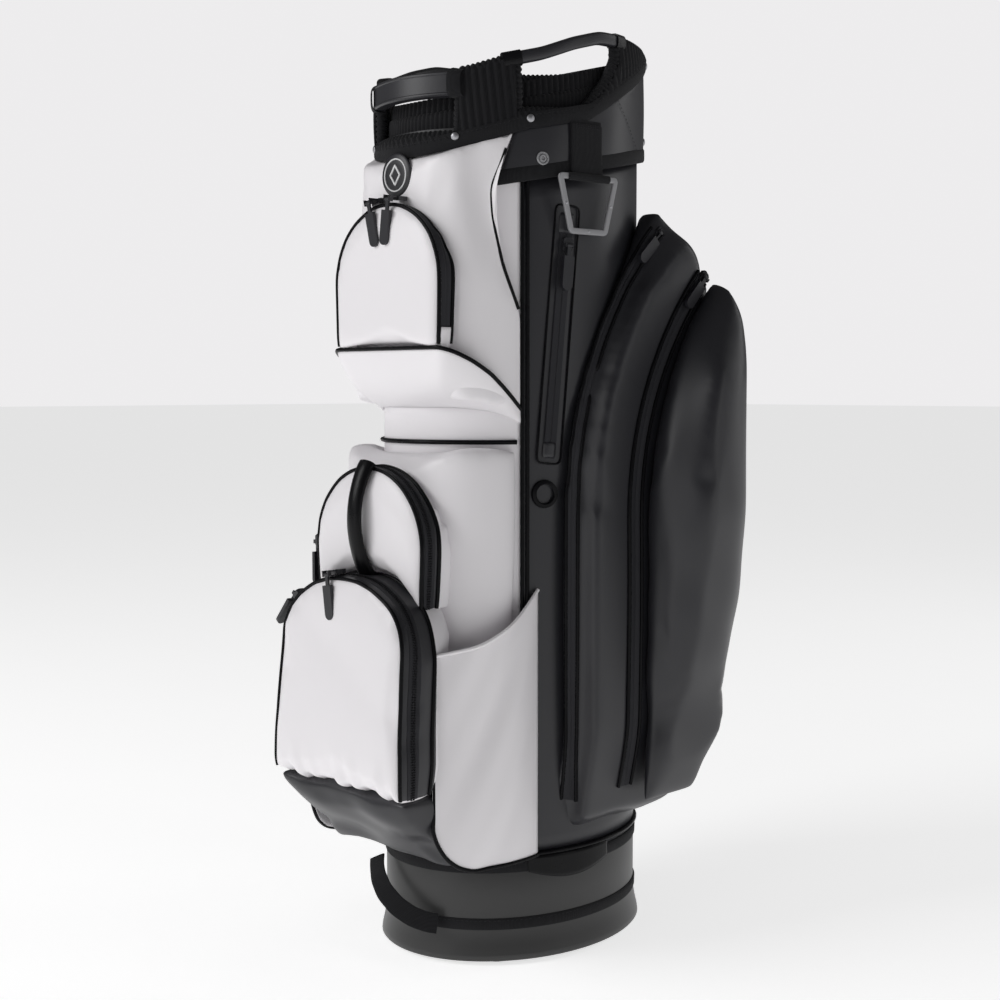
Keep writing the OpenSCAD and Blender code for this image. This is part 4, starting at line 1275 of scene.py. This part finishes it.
            def band(u: float, v: float) -> Vector:
                p = line.points[round(u * n)]
                return laid(tree, form(Vector((p.x, y + 1 + v * deep, p.z))), 0.5)
            gusset.patch(band, n, rows)
            path = Path([form(Vector((p.x, y + zip_at, p.z))) for p in line.points], pitch=3)
            pipes = (-zip_at + 0.6, deep - zip_at + 0.6)
            ZipRun(path, back, tree, 6.4, pipes, 1.9, 1.0).add(tape, piping, teeth if coil else None)
        belly = [(x, self.upper[0].y, self.upper[0].z) for x in (-74, -50, -25, 0, 25, 50, 74)]
        side = [(83, -156, 580), (90, -140, 572), (93.5, -120, 560), (94, -100, 544),
                (92.5, -80, self.waist)]
        belly = [(-x, y, z) for x, y, z in reversed(side)] + belly + side
        line = Path(belly, pitch=4).smoothed(3)
        piping.tube(line, 2.0, 10)
        self.belly(line)
        tree = tree_of(made["upper_body"])
        for side in (-1, 1):
            edge = []
            for z, y in [(606, -70), *BODY_EDGE, (784, -89)]:
                hit = tree.ray_cast(Vector((side * 160, y - 3, z)), Vector((-side, 0, 0)))[0]
                if hit is not None:
                    edge.append(hit + Vector((side * 0.6, 1.4, 0)))
            piping.tube(Path(edge, pitch=4).smoothed(5), 1.6, 10)
        piping.piece(Finish.PIPING, "black_leather")
        gusset.piece(Finish.BLACK_LEATHER, "black_leather")
        tape.piece(Finish.ZIP_TAPE, "zip_tape", stands_for=["front_zip_tapes"])
        teeth.piece(Finish.TEETH, "zip_tape")

    def badge(self) -> None:
        """A round rubber badge with a plain raised diamond in a ring."""
        low, high = cad("badge_disc")
        centre = (low + high) / 2
        centre.y = high.y
        radius = (high.x - low.x) / 2
        maker, mark = Maker("badge"), Maker("badge_mark")
        axis = Vector((0, -1, 0))
        maker.disc(centre, axis, radius, 3.0, 0.3, 64)
        maker.piece(Finish.PULL, "badge_rubber", stands_for=["badge_disc"])
        face = centre + axis * 3.2
        ring = [face + Vector((math.cos(a), 0, math.sin(a))) * radius * 0.74
                for a in [2 * math.pi * i / 48 for i in range(48)]]
        mark.tube(Path(ring, True, 1.5), 0.7, 8)
        corners = [face + Vector(c) for c in ((0, 0, 9), (6.5, 0, 0), (0, 0, -9), (-6.5, 0, 0))]
        mark.tube(Path(corners, True, 1.0), 1.0, 8)
        mark.piece(Finish.MARK, "badge_rubber")

    def handle(self) -> None:
        """The rolled leather grab handle, flat where it is sewn in."""
        low, high = cad("middle_grab_handle")
        maker, thread = Maker("grab_handle"), Maker("grab_handle_stitches")
        face = self.middle[0].y
        bow = face - low.y - 2
        points = []
        for i in range(25):
            s = i / 24
            rise = math.sin(math.pi * s) ** 0.75
            points.append((0, face + 1.0 - bow * rise, mix(low.z - 3, high.z + 3, s)))
        line = Path(points, pitch=2.5).smoothed(2)

        def half(s: float) -> float:
            return 8.6 + 1.6 * abs(2 * s / line.length - 1) ** 3
        maker.tube(line, half, 20, 0.58, Vector((1, 0, 0)))
        maker.piece(Finish.ROLLED_LEATHER, "black_leather", stands_for=["middle_grab_handle"])
        for x in (-6.6, 6.6):
            row = Path([(x, p.y - 2.6, p.z) for p in line.points[4:-4]])
            thread.stitches(row, lambda p: Vector((0, -1, 0)), 2.6, 3.8, 0.7)
        thread.piece(Finish.THREAD, "black_leather")

    def tab(self, made: dict[str, bpy.types.Object]) -> None:
        """White zip end tabs of the upper pocket, with their stitches."""
        maker, thread = Maker("zip_tabs"), Maker("zip_tab_stitches")
        tree = tree_of(made["upper"])
        r = self.upper[1].x
        for side in (-1, 1):
            def shape(u: float, v: float) -> Vector:
                y = self.upper[0].y + mix(2.6, 14.6, u)
                return laid(tree, Vector((side * (r + 1), y, self.upper[0].z + mix(-6, 18, v))), 2.4)
            maker.patch(shape, 6, 8)
            row = Path([shape(u / 6, 0.9) for u in range(7)])
            thread.stitches(row, lambda p: Vector((side, 0, 0)), 1.8, 2.6, 0.6)
        maker.piece(Finish.WHITE_LEATHER, "white_leather", wall=0.8)
        thread.piece(Finish.WHITE_THREAD, "white_leather")

    def build(self) -> None:
        """Builds the front."""
        made = self.bodies()
        self.zips(made)
        self.tab(made)
        self.badge()
        self.handle()


# ---------- slip pockets ----------

@dataclass
class SlipPockets:
    """The open side sleeves: a draped white sheet, a rolled hem and a bottom piping."""

    wall: float = 2.2

    def plan(self, u: float) -> Vector:
        """The sleeve's line in plan, from the lower pocket back to the seam."""
        start, belly, end = Vector((88.8, -190, 0)), Vector((124, -135, 0)), TRUNK.at(-28, 2.5, 0)
        return start * (1 - u) ** 2 + belly * (2 * u * (1 - u)) + end * u * u

    def low(self, y: float) -> float:
        """Height of the bottom edge."""
        return lookup(y, [(-190, 150), (-186, 136), (-178, 122), (-166, 112), (-150, 106), (-80, 104)])

    def high(self, u: float) -> float:
        """Height of the hem."""
        return 308 + 14 * u + 36 * u ** 2.6

    def sheet(self, u: float, v: float) -> Vector:
        """A point of the draped sheet on the +X side."""
        p = self.plan(u)
        z = mix(self.low(p.y), self.high(u), v)
        diagonal = (u * 120 - (z - 104) * 0.55)
        folds = 2.2 * math.sin(diagonal * 0.075 + 0.4) + 1.0 * math.sin(diagonal * 0.16 + 1.7)
        pin = math.sin(math.pi * u) ** 0.7 * (0.35 + 0.65 * v)
        tuck = -7 * (1 - v) ** 6 * math.sin(math.pi * u)
        return Vector((p.x + folds * pin + tuck, p.y, z))

    def build(self) -> None:
        """Builds both sleeves."""
        maker, hem, piping = Maker("slip_sleeves"), Maker("slip_hems"), Maker("slip_piping")
        for side in (-1, 1):
            def shape(u: float, v: float) -> Vector:
                p = self.sheet(u, v)
                return Vector((side * p.x, p.y, p.z))
            maker.patch(shape, 44, 56)
            top = Path([shape(i / 30, 1.0) for i in range(31)])
            hem.tube(top, 1.7, 10)
            edge = [(side * 88.3, -188, z) for z in (300, 240, 180, 160)]
            foot = Path(edge + [shape(i / 30, 0.0) for i in range(31)])
            piping.tube(foot.smoothed(2), 2.0, 10)
        maker.piece(Finish.WHITE_LEATHER, "white_leather", stands_for=["slip_pockets"], wall=self.wall)
        hem.piece(Finish.WHITE_LEATHER, "white_leather")
        piping.piece(Finish.PIPING, "black_leather")


# ---------- side pockets ----------

@dataclass
class SidePockets:
    """The two zipped side pockets on each side and the tall flat zip in front of them."""

    inner_c: tuple[float, float] = (321.0, 430.0)
    inner_r: float = 359.0
    inner_top: float = 131.7
    outer_c: tuple[float, float] = (356.0, 420.0)
    outer_r: float = 331.0
    outer_top: float = 134.5
    inner_x: float = TRUNK.half_w + 5
    outer_x: float = TRUNK.half_w + 28
    low: float = 152.0
    tall_mid: tuple[float, float, float] = (105.9, -45.3, 594.0)
    tall_l: float = 196.0
    tall_tilt: float = 5.0

    def track(self, side: int, x: float, centre: tuple[float, float],
              r: float, top: float, low: float) -> Path:
        """A zip's line: straight up from low, then round its arc."""
        points = [(side * x, centre[0] - r, z) for z in (low, (low + centre[1]) / 2)]
        for i in range(41):
            t = math.radians(mix(180, top, i / 40))
            points.append((side * x, centre[0] + r * math.cos(t), centre[1] + r * math.sin(t)))
        return Path(points, pitch=4)

    def outer_form(self, p: Vector) -> Vector:
        """Domes the outer pocket: its outline draws in as it stands off the trunk."""
        t = eased((abs(p.x) - 146) / 56)
        front = eased((90 - p.y) / 60)
        y = p.y + 20 * t * front
        z = p.z - 24 * t * eased((p.z - 500) / 120) + 44 * t * eased((300 - p.z) / 180)
        inward = 26 * t * min(1.0, max(0.0, (430 - p.z) / 190))
        return Vector((p.x - math.copysign(inward, p.x), y, z))

    def inner_form(self, p: Vector) -> Vector:
        """Rounds the inner pocket's crest and draws it up to the skirt at the back."""
        crest = eased((p.z - 630) / 60)
        off = eased((abs(p.x) - 116) / 30)
        rear = eased((p.y - 85) / 45)
        low = eased((230 - p.z) / 110)
        rise = crest * (8 * eased((p.y - 40) / 40) * (1 - rear) * (1 - off) - 18 * rear - 10 * off)
        x = p.x - math.copysign(16 * low, p.x)
        return Vector((x, p.y + 6 * off * crest - 8 * low * eased((p.y - 60) / 60), p.z + rise))

    def outer_folds(self, p: Vector) -> float:
        """Long diagonal drapes low on the outer pocket and a dent at its back."""
        low = eased((470 - p.z) / 200) * eased((p.z - 120) / 60)
        diagonal = p.y * 0.75 + p.z
        drapes = math.sin(diagonal * 0.042 + 0.6) + 0.6 * math.sin(diagonal * 0.085 + 1.2)
        dent = math.exp(-((p.z - 270) / 26) ** 2 - ((p.y - 125) / 30) ** 2)
        broad = math.sin(p.z * 0.018 + p.y * 0.02)
        return low * drapes * 1.3 - dent * 3 + broad * 0.8

    def inner_folds(self, p: Vector) -> float:
        """A gentle swell along the band between the zips."""
        return 0.8 * math.sin(p.z * 0.02 + 1.0)

    def build(self) -> None:
        """Builds the pockets of both sides."""
        tape, piping = Maker("side_zip_bands"), Maker("side_piping")
        for side, name in ((1, "right"), (-1, "left")):
            black = Finish.BLACK_LEATHER
            inner = Stuffed(name + "_inner_pocket", black, "black_leather", 5, 2, 2.5, relax=6,
                            folds=self.inner_folds, form=self.inner_form).make()
            Stuffed(name + "_outer_pocket", black, "black_leather", 5, 4, 2.5, relax=14,
                    folds=self.outer_folds, form=self.outer_form).make()

            def across(p: Vector, t: Vector) -> Vector:
                return Vector((1, 0, 0)).cross(t)
            first = self.track(side, self.inner_x, self.inner_c, self.inner_r, self.inner_top, self.low)
            second = self.track(side, self.outer_x, self.outer_c, self.outer_r, self.outer_top,
                                self.low + 6)
            tree = tree_of(inner)
            ZipRun(first, across, tree, 6.6, (-8.6, 8.6), 1.7, 1.0).add(tape, piping)
            ZipRun(second, across, tree, 6.6, (-8.6, 9.4), 1.8, 1.0).add(tape, piping)
            self.tall(side, tape, piping)
        tape.piece(Finish.ZIP_TAPE, "zip_tape", stands_for=["right_zip_tapes", "left_zip_tapes"])
        piping.piece(Finish.PIPING, "black_leather")

    def tall_place(self, side: int) -> Matrix:
        """The tall zip's own frame: X points out of the trunk, Z runs up the zip."""
        turn = math.atan2(-self.tall_mid[1] / TRUNK.half_d ** 2, self.tall_mid[0] / TRUNK.half_w ** 2)
        place = Matrix.Translation(self.tall_mid) @ Matrix.Rotation(-turn, 4, "Z")
        place = place @ Matrix.Rotation(math.radians(-self.tall_tilt), 4, "X")
        return Matrix.Diagonal((side, 1, 1, 1)) @ place

    def tall(self, side: int, tape: Maker, piping: Maker) -> None:
        """The tall flat zip and the welt round it."""
        place = self.tall_place(side)

        def at(out: float, over: float, up: float) -> Vector:
            return place @ Vector((out, over, up))
        half = self.tall_l / 2
        profile = [(-6.6, 0.2), (-6.2, 1.5), (-0.8, 1.6), (-0.2, 1.0), (0.2, 1.0), (0.8, 1.6),
                   (6.2, 1.5), (6.6, 0.2)]

        def band(u: float, v: float) -> Vector:
            over, out = profile[round(v * (len(profile) - 1))]
            return at(out, over, mix(-half, half, u))
        tape.patch(band, 30, len(profile) - 1)
        outline = [(13, -half - 20), (13, half + 26), (-13, half + 26), (-13, -half - 20)]
        line = Path([at(0.4, o, u) for o, u in outline], True, 3).smoothed(4)
        piping.tube(line, 1.0, 8)

    def garages(self) -> None:
        """Small moulded covers at the ends of the tall zips."""
        maker = Maker("zip_garages")
        end = self.tall_l / 2
        for side in (-1, 1):
            place = self.tall_place(side)
            for low, high, half in ((end - 1, end + 19, 8), (-end - 15, -end + 1, 7)):
                def shape(u: float, v: float) -> Vector:
                    w = 2 * u - 1
                    round_end = 1 - 0.25 * abs(2 * v - 1) ** 6
                    out = 0.2 + 3.0 * max(0.0, 1 - abs(w) ** 4) * max(0.0, 1 - abs(2 * v - 1) ** 8)
                    return place @ Vector((out, w * half * round_end, mix(low, high, v)))
                maker.patch(shape, 14, 14)
        maker.piece(Finish.GRIP, "pull_rubber")


# ---------- towel ring ----------

@dataclass
class TowelRing:
    """The webbing loop with its bar tacks, and the flat ring that swings in it."""

    turn: float = -8.0
    half_strap: float = 19.0
    top_half: float = 34.0
    low_half: float = 21.0
    drop: float = 50.0

    def build(self) -> None:
        """Builds the loop and the ring."""
        joint = next(j for j in frame["joints"] if j["name"] == "towel_ring_swing")
        pivot = Vector(joint["pos_m"]) / MM
        out = TRUNK.out(self.turn)
        side = Vector((0, 0, 1)).cross(out)
        maker, tacks = Maker("towel_strap"), Maker("towel_strap_tacks")
        face = pivot - out * 4.4
        for lift, high in ((0.6, 53), (2.0, 49)):
            line = Path([face + out * (lift + 1.4), face + out * lift + Vector((0, 0, high / 2)),
                         face + out * lift + Vector((0, 0, high))], pitch=3)
            maker.tube(line, self.half_strap, 20, 0.055, side, square=4)
        roll = Path([pivot - side * (self.half_strap + 6), pivot + side * (self.half_strap + 6)], pitch=3)
        maker.tube(roll, 3.7, 20)
        maker.piece(Finish.WEBBING, "black_webbing", stands_for=["towel_loop"], smooth=60)
        for z in (8, 46):
            for k in range(3):
                row = Path([face + out * 3.1 + side * s + Vector((0, 0, z + 1.6 * k))
                            for s in (-13, 0, 13)])
                tacks.stitches(row, trunk_out, 2.6, 2.9, 0.9)
        tacks.piece(Finish.THREAD, "black_webbing")
        ring, rivets = Maker("towel_ring_frame"), Maker("towel_ring_rivets")
        down = Vector((0, 0, -1))
        corners = [pivot - side * self.top_half, pivot + side * self.top_half,
                   pivot + side * self.low_half + down * self.drop,
                   pivot - side * self.low_half + down * self.drop]
        ring.tube(Path(corners, True, 1.5).smoothed(2), 1.5, 20, 1.9, out, square=4.5)
        ring.piece(Finish.RING, "ring_metal", "towel_ring", ["towel_ring"], smooth=35)
        for p, q in zip(corners, corners[1:] + corners[:1]):
            if p.z < pivot.z - 1 or q.z < pivot.z - 1:
                rivets.disc((p + q) / 2 + out * 1.3, out, 1.5, 0.4, 0.2, 16)
        rivets.piece(Finish.STUD, "ring_metal", "towel_ring")


# ---------- carried-over nodes ----------

def dress_frame() -> None:
    """Gives the CAD nodes that stay visible their finishes."""
    finishes = {"base_feet": Finish.RUBBER, "liner_tube": Finish.LINER, "stay_rods": Finish.STAY,
                "cuff_frame": Finish.GRIP, "divider_sleeves": Finish.MESH, "grommets": Finish.PIPING}
    for name, node in frame["nodes"].items():
        finish = finishes.get(name)
        if "slider" in name:
            finish = Finish.SLIDER
        elif "pull" in name:
            finish = Finish.PULL
        if finish:
            node.data.materials.clear()
            node.data.materials.append(finish.material())
            LOG.info("%s keeps its CAD form", name)


# ---------- stage ----------

@dataclass
class Stage:
    """A pale floor, soft studio lights and the camera."""

    distance: float = 1.570
    height: float = 0.548
    focal: float = 55.94
    tilt: float = 4.15
    shift: float = -0.012

    def camera(self) -> None:
        """The camera, at 45 degrees to the front."""
        data = bpy.data.cameras.new("camera")
        data.lens, data.sensor_width, data.shift_x = self.focal, 36.0, self.shift
        made = bpy.data.objects.new("camera", data)
        reach = self.distance * math.sqrt(0.5)
        made.location = (reach, -reach, self.height)
        made.rotation_euler = (math.radians(90 - self.tilt), 0, math.radians(45))
        bpy.context.scene.collection.objects.link(made)
        bpy.context.scene.camera = made

    def light(self, name: str, place: Sequence[float], size: tuple[float, float], power: float) -> None:
        """One rectangular softbox that looks at the middle of the bag."""
        data = bpy.data.lights.new(name, "AREA")
        data.shape, data.size, data.size_y, data.energy = "RECTANGLE", *size, power
        made = bpy.data.objects.new(name, data)
        made.location = place
        made.rotation_euler = (Vector((0, 0, 0.45)) - Vector(place)).to_track_quat("-Z", "Y").to_euler()
        bpy.context.scene.collection.objects.link(made)

    def build(self) -> None:
        """Builds the stage."""
        self.camera()
        self.light("key", (-1.3, -2.7, 2.0), (1.5, 1.5), 40)
        self.light("front", (0.2, -3.1, 0.9), (1.2, 1.8), 5)
        self.light("side", (3.0, 1.3, 1.4), (0.25, 2.2), 5)
        self.light("rear", (1.2, 2.8, 1.6), (0.8, 2.2), 10)
        world = bpy.data.worlds.new("studio")
        bpy.context.scene.world = world
        world.use_nodes = True
        shade = world.node_tree.nodes["Background"]
        shade.inputs["Color"].default_value = (1.0, 0.99, 1.0, 1)
        ray = world.node_tree.nodes.new("ShaderNodeLightPath")
        strength = world.node_tree.nodes.new("ShaderNodeMapRange")
        strength.inputs["To Min"].default_value, strength.inputs["To Max"].default_value = 0.10, 0.85
        world.node_tree.links.new(ray.outputs["Is Camera Ray"], strength.inputs["Value"])
        world.node_tree.links.new(strength.outputs["Result"], shade.inputs["Strength"])
        mesh = bpy.data.meshes.new("floor")
        bm = bmesh.new()
        bmesh.ops.create_grid(bm, x_segments=2, y_segments=2, size=40)
        bm.to_mesh(mesh)
        bm.free()
        floor = bpy.data.objects.new("floor", mesh)
        bpy.context.scene.collection.objects.link(floor)
        s = Surface("pale_floor")
        s.colour((0.86, 0.86, 0.86), (0.9, 0.9, 0.9), s.noise(3, 2))
        s.shader.inputs["Emission Color"].default_value = (1, 1, 1, 1)
        s.set(Roughness=0.6, Emission_Strength=0.68)
        mesh.materials.append(s.material)
        bpy.context.scene.view_settings.view_transform = "Standard"


def main() -> None:
    """Builds the bag piece by piece."""
    logging.basicConfig(level=logging.INFO, format="%(name)s: %(message)s")
    Stage().build()
    dress_frame()
    Base().build()
    Skins().build()
    Cuff().build()
    Dividers().build()
    FrontPockets().build()
    SlipPockets().build()
    sides = SidePockets()
    sides.build()
    sides.garages()
    TowelRing().build()


if __name__ == "__main__":
    main()
